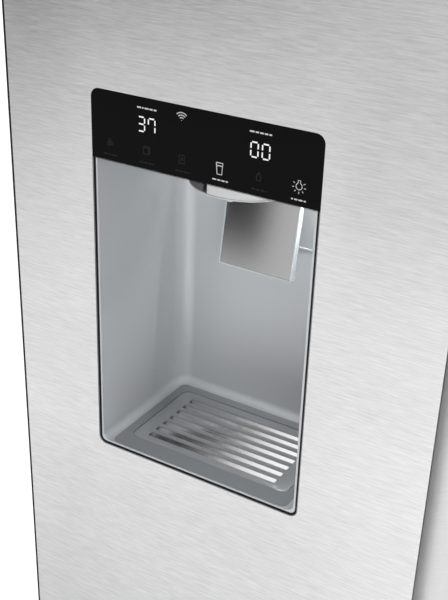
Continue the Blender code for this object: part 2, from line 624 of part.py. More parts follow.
def build_dispenser(skin, core, liner):
    cut(skin, prism("skin_window", opening(0.0), "Y", FRONT - 0.01, FRONT + 0.01))

    low, high = BUMP
    bump = block("bump", (low[0], low[1] - 0.0015, low[2]), high)
    fuse(liner, bump)
    inner_low = (low[0] + LINER, low[1] - 0.01, low[2] + LINER)
    inner_high = tuple(v - LINER for v in high)
    cut(liner, block("bump_hollow", inner_low, inner_high))
    cut(liner, chute("liner_chute_hole", CHUTE_RADIUS + 0.0028, 1.25, 1.35))
    fuse(core, block("bump_core", (inner_low[0] + GAP, low[1] - 0.01, inner_low[2] + GAP),
                     tuple(v - GAP for v in inner_high)))

    back = FRONT + RECESS_DEPTH
    housing = prism("dispenser_housing", opening(0.0025), "Y", FRONT + 0.0005, back + 0.0025, GREY)
    basin_low = (GRILLE[0][0] - 0.006, GRILLE[0][1] - 0.006, OPEN_BOTTOM - 0.014)
    basin_high = (GRILLE[1][0] + 0.006, GRILLE[1][1] + 0.006, OPEN_BOTTOM + 0.0045)
    fuse(housing, block("basin_shell", basin_low, basin_high))
    plan = [(OPEN_LEFT + RECESS_INSET, FRONT - 0.03), (OPEN_RIGHT - RECESS_INSET, FRONT - 0.03)]
    corner = 0.014
    plan += arc((OPEN_RIGHT - RECESS_INSET - corner, back - corner), (corner, corner), 0, 90, 5)
    plan += arc((OPEN_LEFT + RECESS_INSET + corner, back - corner), (corner, corner), 90, 180, 5)
    cavity = prism("recess", plan, "Z", RECESS_FLOOR, RECESS_TOP)
    marks = cavity.data.attributes.new("bevel_weight_edge", "FLOAT", "EDGE")
    for edge, mark in zip(cavity.data.edges, marks.data):
        ends = [cavity.data.vertices[v].co.z for v in edge.vertices]
        mark.value = 1.0 if max(ends) < RECESS_FLOOR + 0.001 else 0.0
    fillet = cavity.modifiers.new("floor_fillet", "BEVEL")
    fillet.width = 0.007
    fillet.segments = 3
    fillet.limit_method = "WEIGHT"
    attic = block("attic", (OPEN_LEFT + RECESS_INSET, FRONT - 0.03, RECESS_TOP + 0.0015),
                  (OPEN_RIGHT - RECESS_INSET, back - 0.001, OPEN_TOP - 0.004))
    window = block("panel_room", (OPEN_LEFT - 0.01, FRONT - 0.01, PANEL_BOTTOM - GAP),
                   (OPEN_RIGHT + 0.01, FRONT + 0.0033, OPEN_TOP + 0.01))
    seat = prism("grille_seat", rounded(*grown(GRILLE[0], GRILLE[1], GAP), 0.0073, 3), "Z",
                 RECESS_FLOOR - 0.0015, 1.0)
    well = prism("basin_hollow", rounded(*grown(GRILLE[0], GRILLE[1], -0.004), 0.004, 2), "Z",
                 basin_low[2] + 0.002, 1.0)
    cut(housing, cavity, attic, window)
    for word, x in (("left", MIDDLE - PADDLE_WIDTH / 2 - 0.0045),
                    ("right", MIDDLE + PADDLE_WIDTH / 2 + 0.0015)):
        ear = block(f"paddle_ear_{word}", (x, PADDLE_HINGE[0] - 0.005, PADDLE_HINGE[1] - 0.005),
                    (x + 0.003, PADDLE_HINGE[0] + 0.005, RECESS_TOP + 0.0010))
        fuse(housing, ear)
    cut(housing, seat, well)
    cut(housing, rod("ear_hole", (0, *PADDLE_HINGE), "X", 0.0032, MIDDLE - 0.05, MIDDLE + 0.05, steps=16))
    cut(housing, chute("housing_chute_hole", CHUTE_RADIUS + 0.0028, 1.15, 1.35))

    core_plug = prism("core_recess", opening(0.0022), "Y", FRONT - 0.01, back + 0.0028)
    core_basin = block("core_basin", *grown(basin_low, basin_high, GAP))
    core_panel = block("core_panel", (OPEN_LEFT - 0.0003, FRONT - 0.01, PANEL_BOTTOM - 0.002),
                       (OPEN_RIGHT + 0.0003, FRONT + 0.0036, OPEN_TOP + 0.0003))
    cut(core, core_plug, core_basin, core_panel, chute("core_chute_hole", CHUTE_RADIUS + 0.0028, 1.15, 1.35))

    trim = prism("dispenser_trim", opening(GAP, top=PANEL_BOTTOM - 2 * GAP), "Y", FRONT + 0.0001,
                 FRONT + 0.0011, DARK)
    cut(trim, prism("trim_hole", opening(0.0022, top=PANEL_BOTTOM + 0.01), "Y", FRONT - 0.01, FRONT + 0.01))

    face = rounded((OPEN_LEFT + GAP, PANEL_BOTTOM), (OPEN_RIGHT - GAP, OPEN_TOP - GAP),
                   (0, 0, OPEN_RADIUS - GAP, OPEN_RADIUS - GAP), 4)
    prism("control_panel", face, "Y", FRONT, FRONT + 0.003, BLACK_GLASS)

    tube = chute("ice_chute", CHUTE_RADIUS + 0.0022, CHUTE_LOW, BUMP[1][2] - 0.0005, WHITE)
    cut(tube, chute("chute_bore", CHUTE_RADIUS, 1.15, 1.40))


def d_shape(radius, back):
    """A circle's front part, cut off by a straight back."""
    centre = (MIDDLE, SPOUT_CENTRE_Y)
    reach = math.degrees(math.asin((back - centre[1]) / radius))
    return arc(centre, (radius, radius), 180 - reach, 360 + reach, 18)


def build_spout():
    shell = prism("spout", d_shape(SPOUT_RADIUS, SPOUT_BACK), "Z", SPOUT_BOTTOM, RECESS_TOP - GAP, SILVER)
    smooth(shell)
    inner = prism("spout_hollow", d_shape(SPOUT_RADIUS - SPOUT_WALL, SPOUT_BACK - SPOUT_WALL), "Z",
                  SPOUT_BOTTOM + SPOUT_WALL, 1.30)
    mouth_low = (MIDDLE - 0.0262, CHUTE_Y - 0.0220)
    mouth_high = (MIDDLE + 0.0262, CHUTE_Y + 0.0252)
    mouth = prism("spout_mouth", rounded(mouth_low, mouth_high, 0.006, 3), "Z", 1.15, 1.20)
    cut(shell, inner, mouth, rod("nozzle_hole", NOZZLE, "Z", NOZZLE_RADIUS + GAP, 1.1, 1.2, steps=16))
    rod("water_nozzle", NOZZLE, "Z", NOZZLE_RADIUS, 1.1705, 1.1990, SILVER, 16)
    hinge_y = CHUTE_Y + FLAP_RADIUS
    flap = rod("ice_flap", (MIDDLE, CHUTE_Y - 0.0010, 0), "Z", FLAP_RADIUS, *FLAP_Z, DARK, 24)
    pin = rod("flap_pin", (0, hinge_y, FLAP_Z[0]), "X", 0.0012, MIDDLE - 0.012, MIDDLE + 0.012, steps=10)
    fuse(flap, pin)


def build_paddle():
    """The lever behind the spout. It is drawn hanging straight, then leant to its rest angle."""
    hinge = bpy.data.objects.new("paddle_hinge", None)
    bpy.context.scene.collection.objects.link(hinge)
    hinge.location = (MIDDLE, *PADDLE_HINGE)
    hinge.rotation_euler = (-PADDLE_LEAN, 0, 0)
    half = PADDLE_WIDTH / 2
    face = -0.0008
    carrier = block("paddle_carrier", (-half, face, -PADDLE_DROP), (half, face + 0.0090, 0.0005), CLEAR)
    hollow = block("carrier_hollow", (-half + 0.0020, face + 0.0022, -PADDLE_DROP + 0.0020),
                   (half - 0.0020, 0.03, -0.0060))
    recess = block("plate_seat", (-half + 0.0010, face - 0.01, -PADDLE_DROP + 0.0010),
                   (half - 0.0010, face + 0.0009, -0.0040))
    axle = rod("paddle_axle", (0, 0.0, 0.0), "X", 0.0026, -half - 0.0040, half + 0.0040, steps=14)
    plate = block("paddle_plate", (-half + 0.0013, face, -PADDLE_DROP + 0.0013),
                  (half - 0.0013, face + 0.0006, -0.0043), STAINLESS)
    cut(carrier, hollow, recess)
    fuse(carrier, axle)
    for piece in (carrier, hollow, recess, axle, plate):
        piece.parent = hinge


def build_grille():
    low, high = GRILLE
    top = RECESS_FLOOR + 0.0002
    plate = prism("drip_grille", rounded(low, high, 0.007, 3), "Z", top - 0.0014, top, SILVER)
    centre = (low[1] + high[1]) / 2 - 0.001
    slots = []
    for i in range(GRILLE_SLOTS):
        y = centre + (i - (GRILLE_SLOTS - 1) / 2) * SLOT_PITCH
        slots.append(((low[0] + 0.013, y - SLOT_HALF, 0.9), (high[0] - 0.014, y + SLOT_HALF, 1.0)))
    cut(plate, blocks("grille_slots", slots))


def build_bins():
    tub("freezer_door_bin", (-0.3835, DOOR_BACK + 0.0006, 0.250), (-0.1205, -0.185, 0.370), TUB_WALL, CLEAR)
    tub("fridge_door_bin", (0.0185, DOOR_BACK + 0.0006, 0.560), (0.3835, -0.165, 0.680), TUB_WALL, CLEAR)
    tub("dairy_box", (0.0185, DOOR_BACK + 0.0006, 1.450), (0.3835, -0.185, 1.540), TUB_WALL, CLEAR)
    lid = block("dairy_lid", (0.0195, DOOR_BACK + 0.0042, 1.5410), (0.3825, -0.184, 1.5435), CLEAR)
    fuse(lid, rod("lid_pin", (0, DOOR_BACK + 0.0050, 1.5425), "X", 0.0018, 0.0195, 0.3825, steps=12))


build_cabinet()
build_base()
build_toe_grille()
build_hinges()
build_machine()
build_cooling()
build_freezer_room()
build_fridge_room()
freezer_skin, freezer_core = build_door_sheets("freezer", FREEZER_DOOR, -1)
freezer_liner_plate = build_door_liner("freezer", FREEZER_DOOR, FREEZER_DIKE, (-0.433, -0.060))
build_dispenser(freezer_skin, freezer_core, freezer_liner_plate)
build_spout()
build_paddle()
build_grille()
build_door_sheets("fridge", FRIDGE_DOOR, 1)
build_door_liner("fridge", FRIDGE_DOOR, FRIDGE_DIKE, (-0.042, 0.433))
build_bins()
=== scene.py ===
"""Looks of the side by side refrigerator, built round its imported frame.

Metres, +Z up. The doors face -Y. Most places come from the frame's own boxes. Every visible
piece rides on one of the frame's bodies, and names the CAD node that it stands for, if any.
"""

import json
import math

import bmesh
import bpy
from mathutils import Matrix, Vector

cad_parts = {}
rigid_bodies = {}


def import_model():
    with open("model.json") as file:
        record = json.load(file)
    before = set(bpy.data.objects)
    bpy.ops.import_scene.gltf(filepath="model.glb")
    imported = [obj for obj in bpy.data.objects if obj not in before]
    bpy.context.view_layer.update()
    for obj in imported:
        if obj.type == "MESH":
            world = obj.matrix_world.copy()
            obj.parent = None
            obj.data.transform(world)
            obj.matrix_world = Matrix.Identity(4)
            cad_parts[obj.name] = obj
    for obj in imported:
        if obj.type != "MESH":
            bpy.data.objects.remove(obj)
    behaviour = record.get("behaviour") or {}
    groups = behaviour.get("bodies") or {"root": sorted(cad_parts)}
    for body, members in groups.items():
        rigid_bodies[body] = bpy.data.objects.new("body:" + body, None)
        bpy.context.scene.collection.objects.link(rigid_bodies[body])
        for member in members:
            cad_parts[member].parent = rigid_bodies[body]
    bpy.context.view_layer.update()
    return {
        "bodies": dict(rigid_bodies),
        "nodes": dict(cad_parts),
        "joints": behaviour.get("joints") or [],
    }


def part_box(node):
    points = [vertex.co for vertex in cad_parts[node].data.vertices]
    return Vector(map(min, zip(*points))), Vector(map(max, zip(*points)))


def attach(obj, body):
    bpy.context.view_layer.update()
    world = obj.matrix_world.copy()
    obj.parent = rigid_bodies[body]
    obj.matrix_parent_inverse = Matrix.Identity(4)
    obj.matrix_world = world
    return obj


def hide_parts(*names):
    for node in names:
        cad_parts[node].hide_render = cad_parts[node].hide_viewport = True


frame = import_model()
NODES = frame["nodes"]
BODIES = frame["bodies"]

# ---------------------------------------------------------------- places, from the frame

SKIN_LOW, SKIN_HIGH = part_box("freezer_door_skin")
HANDLE_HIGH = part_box("freezer_door_handle")[1]
FRONT = SKIN_LOW.y
DOOR_BACK = SKIN_HIGH.y
TRIM_LOW, TRIM_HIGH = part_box("dispenser_trim")
PANEL_LOW, PANEL_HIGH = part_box("control_panel")
HOUSING_LOW, HOUSING_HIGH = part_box("dispenser_housing")
GRILLE_LOW, GRILLE_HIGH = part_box("drip_grille")
SPOUT_LOW, SPOUT_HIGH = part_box("spout")

GAP = 0.0003                                  # left between pieces that touch
OPEN_LEFT = TRIM_LOW.x - GAP                  # the dispenser's outline in the door front
OPEN_RIGHT = TRIM_HIGH.x + GAP
OPEN_BOTTOM = TRIM_LOW.z - GAP
OPEN_TOP = PANEL_HIGH.z + GAP
OPEN_RADIUS = 0.007
PANEL_BOTTOM = PANEL_LOW.z
RECESS_INSET = 0.004
RECESS_BACK = HOUSING_HIGH.y - 0.0025
RECESS_FLOOR = GRILLE_HIGH.z - 0.0002
RECESS_TOP = SPOUT_HIGH.z + GAP
SPOUT_MIDDLE = (OPEN_LEFT + OPEN_RIGHT) / 2
SPOUT_RADIUS = SPOUT_HIGH.x - SPOUT_MIDDLE
SPOUT_CENTRE = (SPOUT_MIDDLE, SPOUT_LOW.y + SPOUT_RADIUS)
SCOOP_WIDTH = HANDLE_HIGH.x - SKIN_HIGH.x
SCOOP_DEPTH = 0.022
HINGES = {joint["name"]: joint for joint in frame["joints"]}
PADDLE_HINGE = Vector(HINGES["paddle_hinge"]["pos_m"])
PADDLE_LEAN = math.atan(0.16)
PIVOT = Vector(HINGES["fridge_door_hinge"]["pos_m"])
SHEET = 0.0010                                # the doors' sheet steel
EDGE_STRIP = 0.0021                           # width of the dark lip along each hinge side: partly edge trim, partly painted shade
VANE_TILT = 40                                # slope of the grille's vanes, in degrees
LEDGE_LEFT = -0.268                           # a thin moulded ledge on the recess's back, its paler colour a painted highlight along the step
LEDGE_BOTTOM = 1.1063
LEDGE_TOP = 1.1075


# ---------------------------------------------------------------- materials

class Nodes:
    """A node tree, with short ways to add and join nodes."""

    def __init__(self, owner, shader="Principled BSDF"):
        owner.use_nodes = True
        self.owner = owner
        self.tree = owner.node_tree
        self.shader = self.tree.nodes[shader]

    def fix(self, **sockets):
        """Sets the shader's own sockets. Underscores stand for spaces."""
        for socket, value in sockets.items():
            self.shader.inputs[socket.replace("_", " ")].default_value = value

    def feed(self, output, socket):
        self.join(output, self.shader.inputs[socket])

    def add(self, kind, **settings):
        node = self.tree.nodes.new(kind)
        for key, value in settings.items():
            setattr(node, key, value)
        return node

    def join(self, output, input_socket):
        self.tree.links.new(output, input_socket)

    def place(self, scale):
        """Object coordinates, stretched by one value or by three."""
        where = self.add("ShaderNodeTexCoord")
        mapping = self.add("ShaderNodeMapping")
        mapping.inputs["Scale"].default_value = (scale,) * 3 if isinstance(scale, int) else scale
        self.join(where.outputs["Object"], mapping.inputs["Vector"])
        return mapping.outputs["Vector"]

    def noise(self, scale, detail=3.0, roughness=0.55):
        node = self.add("ShaderNodeTexNoise")
        node.inputs["Scale"].default_value = 1.0
        node.inputs["Detail"].default_value = detail
        node.inputs["Roughness"].default_value = roughness
        self.join(self.place(scale), node.inputs["Vector"])
        return node.outputs["Fac"]

    def ramp(self, value, low, high, out_low, out_high, **settings):
        node = self.add("ShaderNodeMapRange", clamp=True, **settings)
        for socket, number in zip(("From Min", "From Max", "To Min", "To Max"),
                                  (low, high, out_low, out_high)):
            node.inputs[socket].default_value = number
        self.join(value, node.inputs["Value"])
        return node.outputs["Result"]

    def math(self, operation, first, second):
        node = self.add("ShaderNodeMath", operation=operation)
        for socket, value in zip(node.inputs, (first, second)):
            if isinstance(value, (int, float)):
                socket.default_value = value
            else:
                self.join(value, socket)
        return node.outputs["Value"]

    def mix(self, factor, dark, light):
        node = self.add("ShaderNodeMix", data_type="RGBA")
        self.join(factor, node.inputs["Factor"])
        node.inputs[6].default_value = (*dark, 1.0)
        node.inputs[7].default_value = (*light, 1.0)
        return node.outputs[2]

    def relief(self, height, distance):
        bump = self.add("ShaderNodeBump")
        bump.inputs["Distance"].default_value = distance
        self.join(height, bump.inputs["Height"])
        self.feed(bump.outputs["Normal"], "Normal")


def shade(colour, amount):
    return tuple(min(1.0, max(0.0, c * amount)) for c in colour)


def surface(name, colour, roughness, metallic=0.0, grain=400, tone=0.06, gloss=0.06,
            height=0.00004, broad=6, broad_tone=0.04, **sockets):
    """A finish whose colour, gloss and relief vary at a fine scale and drift at a broad one."""
    nodes = Nodes(bpy.data.materials.new(name))
    fine = nodes.noise(grain, 4.0, 0.6)
    slow = nodes.noise(broad, 2.0, 0.5)
    total = nodes.math("ADD", nodes.math("MULTIPLY", fine, tone),
                       nodes.math("MULTIPLY", slow, broad_tone))
    spread = tone + broad_tone
    factor = nodes.ramp(total, 0.3 * spread, 0.7 * spread, 0.0, 1.0)
    nodes.feed(nodes.mix(factor, shade(colour, 1 - spread), shade(colour, 1 + spread)), "Base Color")
    smoothest, roughest = max(0.02, roughness - gloss), min(1.0, roughness + gloss)
    nodes.feed(nodes.ramp(fine, 0.3, 0.7, smoothest, roughest), "Roughness")
    nodes.fix(Metallic=metallic, **sockets)
    if height:
        nodes.relief(fine, height)
    return nodes.owner


def glow(name, colour, strength, base):
    """Print behind glass, lit or not: its brightness wanders slightly."""
    nodes = Nodes(bpy.data.materials.new(name))
    uneven = nodes.noise(300, 2.0)
    nodes.feed(nodes.mix(uneven, shade(colour, 0.92), colour), "Emission Color")
    nodes.feed(nodes.mix(uneven, shade(colour, base * 0.9), shade(colour, base)), "Base Color")
    nodes.fix(Emission_Strength=strength, Roughness=0.4, Specular_IOR_Level=0.1)
    return nodes.owner


def spangle(name, colour, roughness):
    """Zinc plate: flat crystals a few millimetres across, each with its own tone."""
    nodes = Nodes(bpy.data.materials.new(name))
    cells = nodes.add("ShaderNodeTexVoronoi")
    cells.inputs["Scale"].default_value = 1.0
    nodes.join(nodes.place(260), cells.inputs["Vector"])
    split = nodes.add("ShaderNodeSeparateColor")
    nodes.join(cells.outputs["Color"], split.inputs["Color"])
    nodes.feed(nodes.mix(split.outputs["Red"], shade(colour, 0.92), shade(colour, 1.06)), "Base Color")
    nodes.feed(nodes.ramp(split.outputs["Green"], 0.0, 1.0, roughness - 0.08, roughness + 0.1), "Roughness")
    nodes.fix(Metallic=0.9)
    nodes.relief(nodes.noise(300), 0.00002)
    return nodes.owner


GRAIN_X = (75, 75, 1150)       # streaks that run along X
GRAIN_Z = (900, 60, 16)        # streaks that run along Z
LOOKS = {}


def look(slot, maker, name, *numbers, **sockets):
    """Registers a finish under its name, with the slot that its pieces fill."""
    LOOKS[name] = (slot, maker(name, *numbers, **sockets))


# Each surface's numbers: colour, roughness, metallic, grain, tone, gloss, height, broad, broad tone.
look("brushed_stainless", surface, "steel", (0.66, 0.66, 0.66), 0.34, 1.0, GRAIN_X, 0.13, 0.05, 0.00002,
     (3, 3, 14), 0.02)
look("brushed_stainless", surface, "steel_plate", (0.52, 0.52, 0.52), 0.12, 1.0, GRAIN_X, 0.01, 0.005, 0.0,
     (5, 5, 9), 0.01)
# The channels' steel is darker than the door fronts: partly the insert's own finish, partly painted shade
# in the curved-back scoop.
look("brushed_stainless", surface, "channel", (0.59, 0.59, 0.59), 0.34, 1.0, GRAIN_X, 0.05, 0.05, 0.00002,
     (3, 3, 14), 0.02)
look("painted_steel", surface, "paint", (0.30, 0.31, 0.32), 0.45, 0.0, 900, 0.05, 0.06, 0.00006)
look("zinc_plate", spangle, "zinc", (0.46, 0.47, 0.48), 0.42)
look("white_liner", surface, "white", (0.84, 0.85, 0.85), 0.35, 0.0, 700, 0.015, 0.05, 0.00003, 4, 0.015)
look("foam", surface, "foam", (0.80, 0.70, 0.45), 0.9, 0.0, 1200, 0.15, 0.05, 0.0002)
look("gasket_rubber", surface, "rubber", (0.50, 0.51, 0.52), 0.75, 0.0, 900, 0.06, 0.08, 0.00005)
look("grey_plastic", surface, "grey", (0.54, 0.557, 0.574), 0.44, 0.30, 1500, 0.02, 0.05, 0.00001, 9, 0.02)
look("dark_plastic", surface, "dark", (0.030, 0.030, 0.033), 0.42, 0.0, 1200, 0.2, 0.08, 0.00003)
look("black_glass", surface, "glass_black", (0.0045, 0.0045, 0.0045), 0.12, 0.0, 60, 0.02, 0.02, 0.0,
     9, 0.03, Specular_IOR_Level=0.03)
look("silver_plastic", surface, "silver", (0.58, 0.58, 0.585), 0.30, 0.35, 1500, 0.03, 0.04, 0.00001)
look("clear_plastic", surface, "clear", (0.95, 0.975, 0.98), 0.08, 0.0, 300, 0.01, 0.04, 0.00001,
     7, 0.02, Transmission_Weight=0.96, IOR=1.40)
look("shelf_glass", surface, "shelf_glass", (0.80, 0.93, 0.89), 0.04, 0.0, 80, 0.01, 0.02, 0.0,
     5, 0.02, Transmission_Weight=0.95, IOR=1.50)
look("aluminium", surface, "aluminium", (0.72, 0.73, 0.74), 0.35, 1.0, GRAIN_Z, 0.06, 0.08, 0.00002)
look("black_paint", surface, "black_paint", (0.02, 0.02, 0.02), 0.38, 0.0, 700, 0.2, 0.08, 0.00005)
look("black_glass", glow, "lit", (1.0, 1.0, 1.0), 0.85, 0.12)
look("black_glass", glow, "lit_mark", (1.0, 1.0, 1.0), 0.50, 0.10)
look("black_glass", glow, "unlit", (1.0, 1.0, 1.0), 0.0, 0.018)
look("clear_plastic", glow, "lamp", (1.0, 0.99, 0.97), 1.6, 0.6)
# Painted reflection: the near-black colour of the spout's side shells stands for dark surroundings
# reflected in the curved spout.
look("silver_plastic", surface, "cheek", (0.085, 0.078, 0.083), 0.35, 0.2, 1200, 0.05, 0.05, 0.00001)
# tray: a separate floor mat whose darker grey is partly its own colour, partly painted shade on the recess
# floor.
look("grey_plastic", surface, "tray", (0.262, 0.278, 0.290), 0.45, 0.10, 1500, 0.02, 0.05, 0.00001, 9, 0.02)
look("dark_plastic", surface, "trim_black", (0.010, 0.010, 0.010), 0.45, 0.0, 1200, 0.05, 0.05, 0.00001,
     Specular_IOR_Level=0.12)
look("silver_plastic", surface, "bead", (0.42, 0.42, 0.43), 0.35, 0.3, 1200, 0.03, 0.05, 0.00001)
look("clear_plastic", surface, "haze", (0.68, 0.75, 0.772), 0.30, 0.0, 800, 0.02, 0.05, 0.00001,
     Transmission_Weight=0.10, IOR=1.46)
look("silver_plastic", surface, "polished", (0.56, 0.56, 0.56), 0.14, 1.0, 200, 0.02, 0.01, 0.0)
look("silver_plastic", surface, "grille", (0.40, 0.415, 0.425), 0.32, 0.55, 1500, 0.03, 0.05, 0.00001)


# ---------------------------------------------------------------- shapes

def smooth(made, degrees=32):
    made.data.shade_smooth()
    made.data.set_sharp_from_angle(angle=math.radians(degrees))
    return made


def from_builder(name, builder):
    bmesh.ops.recalc_face_normals(builder, faces=builder.faces)
    mesh = bpy.data.meshes.new(name)
    builder.to_mesh(mesh)
    builder.free()
    made = bpy.data.objects.new(name, mesh)
    bpy.context.scene.collection.objects.link(made)
    return made


def settle(made):
    """Replaces an object's mesh with what its modifiers make of it."""
    bpy.context.view_layer.update()
    graph = bpy.context.evaluated_depsgraph_get()
    mesh = bpy.data.meshes.new_from_object(made.evaluated_get(graph))
    name = made.name
    if made.type == "MESH":
        made.modifiers.clear()
        made.data = mesh
        return made
    bpy.data.objects.remove(made)
    final = bpy.data.objects.new(name, mesh)
    bpy.context.scene.collection.objects.link(final)
    return final


def soften(made, width, segments=2, degrees=35):
    step = made.modifiers.new("edges", "BEVEL")
    step.width = width
    step.segments = segments
    step.limit_method = "ANGLE"
    step.angle_limit = math.radians(degrees)
    step.use_clamp_overlap = True
    return made


def eased(made, width, segments=2, degrees=35):
    """Rounds the edges for good, so that later cuts stay sharp."""
    return settle(soften(made, width, segments, degrees))


def combine(target, tools, operation):
    for tool in tools:
        step = target.modifiers.new(tool.name, "BOOLEAN")
        step.operation = operation
        step.solver = "EXACT"
        step.object = tool
    settle(target)
    for tool in tools:
        bpy.data.objects.remove(tool)
    return target


def cut(target, *tools):
    return combine(target, tools, "DIFFERENCE")


def fuse(target, *tools):
    return combine(target, tools, "UNION")


def add_block(builder, low, high):
    sides = [b - a for a, b in zip(low, high)]
    centre = [(a + b) / 2 for a, b in zip(low, high)]
    place = Matrix.Translation(centre) @ Matrix.Diagonal((*sides, 1.0))
    bmesh.ops.create_cube(builder, size=1.0, matrix=place)


def blocks(name, pairs):
    builder = bmesh.new()
    for low, high in pairs:
        add_block(builder, low, high)
    return from_builder(name, builder)


def block(name, low, high):
    return blocks(name, [(low, high)])


def placed(axis, a, b, along):
    return {"X": (along, a, b), "Y": (a, along, b), "Z": (a, b, along)}[axis]


def add_loft(builder, sections, closed=False):
    """Rings of points joined one to the next. Both ends are filled unless the loft is closed."""
    rings = [[builder.verts.new(point) for point in section] for section in sections]
    pairs = list(zip(rings, rings[1:]))
    if closed:
        pairs.append((rings[-1], rings[0]))
    else:
        builder.faces.new(rings[0])
        builder.faces.new(rings[-1])
    for first, second in pairs:
        for corners in zip(first, first[1:] + first[:1], second[1:] + second[:1], second):
            builder.faces.new(corners)


def loft(name, sections, closed=False):
    builder = bmesh.new()
    add_loft(builder, sections, closed)
    return from_builder(name, builder)


def add_prism(builder, outline, axis, low, high):
    add_loft(builder, [[placed(axis, a, b, along) for a, b in outline] for along in (low, high)])


def prisms(name, outlines, axis, low, high):
    builder = bmesh.new()
    for outline in outlines:
        add_prism(builder, outline, axis, low, high)
    return from_builder(name, builder)


def prism(name, outline, axis, low, high):
    return prisms(name, [outline], axis, low, high)


def rim(name, outlines, axis="Y"):
    """A closed ring of (outline, position along the axis), in order round its section."""
    sections = [[placed(axis, a, b, along) for a, b in outline] for outline, along in outlines]
    return loft(name, sections, True)


def arc(centre, radii, start, stop, steps):
    points = []
    for i in range(steps + 1):
        turn = math.radians(start + (stop - start) * i / steps)
        points.append((centre[0] + radii[0] * math.cos(turn), centre[1] + radii[1] * math.sin(turn)))
    return points


def rounded(low, high, radius, steps=6):
    """A rectangle with round corners. The radius may be one value or four, from low-low round."""
    radii = (radius,) * 4 if isinstance(radius, (int, float)) else radius
    corners = ((low[0], low[1], 1, 1), (high[0], low[1], -1, 1),
               (high[0], high[1], -1, -1), (low[0], high[1], 1, -1))
    points = []
    for (a, b, da, db), size, start in zip(corners, radii, (180, 270, 0, 90)):
        size = max(size, 0.0001)
        points += arc((a + da * size, b + db * size), (size, size), start, start + 90, steps)
    return points


def turned(name, profile, centre, axis, steps=40):
    """A closed profile of (radius, distance along the axis), turned about the axis."""
    builder = bmesh.new()
    rings = []
    for radius, along in profile:
        count = 1 if radius == 0 else steps
        ring = []
        for i in range(count):
            turn = 2 * math.pi * i / steps
            point = Vector(placed(axis, radius * math.cos(turn), radius * math.sin(turn), along))
            ring.append(builder.verts.new(point + Vector(centre)))
        rings.append(ring)
    for first, second in zip(rings, rings[1:]):
        for i in range(steps):
            j = (i + 1) % steps
            corners = [first[i % len(first)], first[j % len(first)],
                       second[j % len(second)], second[i % len(second)]]
            unique = list(dict.fromkeys(corners))
            if len(unique) > 2:
                builder.faces.new(unique)
    for ring in (rings[0], rings[-1]):
        if len(ring) > 1:
            builder.faces.new(ring)
    return from_builder(name, builder)


def rod(name, centre, axis, radius, low, high, steps=24):
    return turned(name, [(radius, low), (radius, high)], centre, axis, steps)


def pipe(name, routes, radius, round_off=0.0, sides=3):
    """Round tubes along one or more routes of points, as one mesh with filled ends."""
    curve = bpy.data.curves.new(name, "CURVE")
    curve.dimensions = "3D"
    curve.bevel_depth = radius
    curve.bevel_resolution = sides
    curve.use_fill_caps = True
    for route in routes:
        route = rounded_route(route, round_off) if round_off else route
        spline = curve.splines.new("POLY")
        spline.points.add(len(route) - 1)
        for point, place in zip(spline.points, route):
            point.co = (*place, 1.0)
    made = bpy.data.objects.new(name, curve)
    bpy.context.scene.collection.objects.link(made)
    return smooth(settle(made), 50)


def rounded_route(route, radius):
    """The same route with each corner turned in a curve."""
    steps = 5
    points = [Vector(p) for p in route]
    result = [points[0]]
    for before, corner, after in zip(points, points[1:], points[2:]):
        reach = min(radius, (before - corner).length * 0.45, (after - corner).length * 0.45)
        start = corner + (before - corner).normalized() * reach
        stop = corner + (after - corner).normalized() * reach
        for i in range(steps + 1):
            t = i / steps
            result.append(start * (1 - t) ** 2 + corner * (2 * t * (1 - t)) + stop * t ** 2)
    result.append(points[-1])
    return result


def dress(made, finish, body, *stands_for, angle=32):
    """Gives a piece its finish and its body, and says which CAD nodes it stands for."""
    slot, material = LOOKS[finish]
    made.data.materials.clear()
    made.data.materials.append(material)
    if angle:
        smooth(made, angle)
    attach(made, body)
    if stands_for:
        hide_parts(*stands_for)
    return made


def soft_blocks(name, pairs, width, segments, finish, body, *stands_for):
    """Blocks with rounded edges, dressed as one piece."""
    dress(soften(blocks(name, pairs), width, segments), finish, body, *stands_for)


def soft_block(name, low, high, *rest):
    soft_blocks(name, [(low, high)], *rest)


def keep(node, finish):
    """A CAD node that stays: it gets its finish, and modifiers that round its edges."""
    made = NODES[node]
    made.data.materials.clear()
    made.data.materials.append(LOOKS[finish][1])
    weld = made.modifiers.new("weld", "WELD")
    weld.merge_threshold = 0.00002
    soften(made, 0.0006)
    smooth(made, 35)


# ---------------------------------------------------------------- camera, light and floor

CAMERA_PLACE = (0.09392, -0.94881, 1.45415)
CAMERA_TURN, CAMERA_DIP, CAMERA_ROLL = 30.359, 26.613, 2.022     # degrees
CAMERA_LENS = 63.25
BACKGROUND = 1.25                     # brightness of the studio behind and beside the object
FRONT_HORIZON = 0.80                  # the same ahead of the doors, low down
FRONT_OVERHEAD = 0.03                 # and high up
DOORWAY_TONE = 0.02                   # what is left of it in the doorway
FLOOR_GLOW = 0.43
# The floor glows least round one spot near the left front corner: a painted shadow beside the fridge.
PAINTED_SHADOW_GLOW = 0.08
PAINTED_SHADOW_PLACE = (-0.97, -0.80, 0.0)       # the centre of the painted shadow, where the floor glows least


def build_camera():
    """The view: from in front of the fridge door, down and to the left at the freezer door."""
    data = bpy.data.cameras.new("camera")
    data.lens = CAMERA_LENS
    data.sensor_width = 36.0
    data.clip_end = 100.0
    camera = bpy.data.objects.new("camera", data)
    bpy.context.scene.collection.objects.link(camera)
    place = Matrix.Translation(CAMERA_PLACE)
    for degrees, axis in ((CAMERA_TURN, "Z"), (90 - CAMERA_DIP, "X"), (CAMERA_ROLL, "Z")):
        place = place @ Matrix.Rotation(math.radians(degrees), 4, axis)
    camera.matrix_world = place
    bpy.context.scene.camera = camera


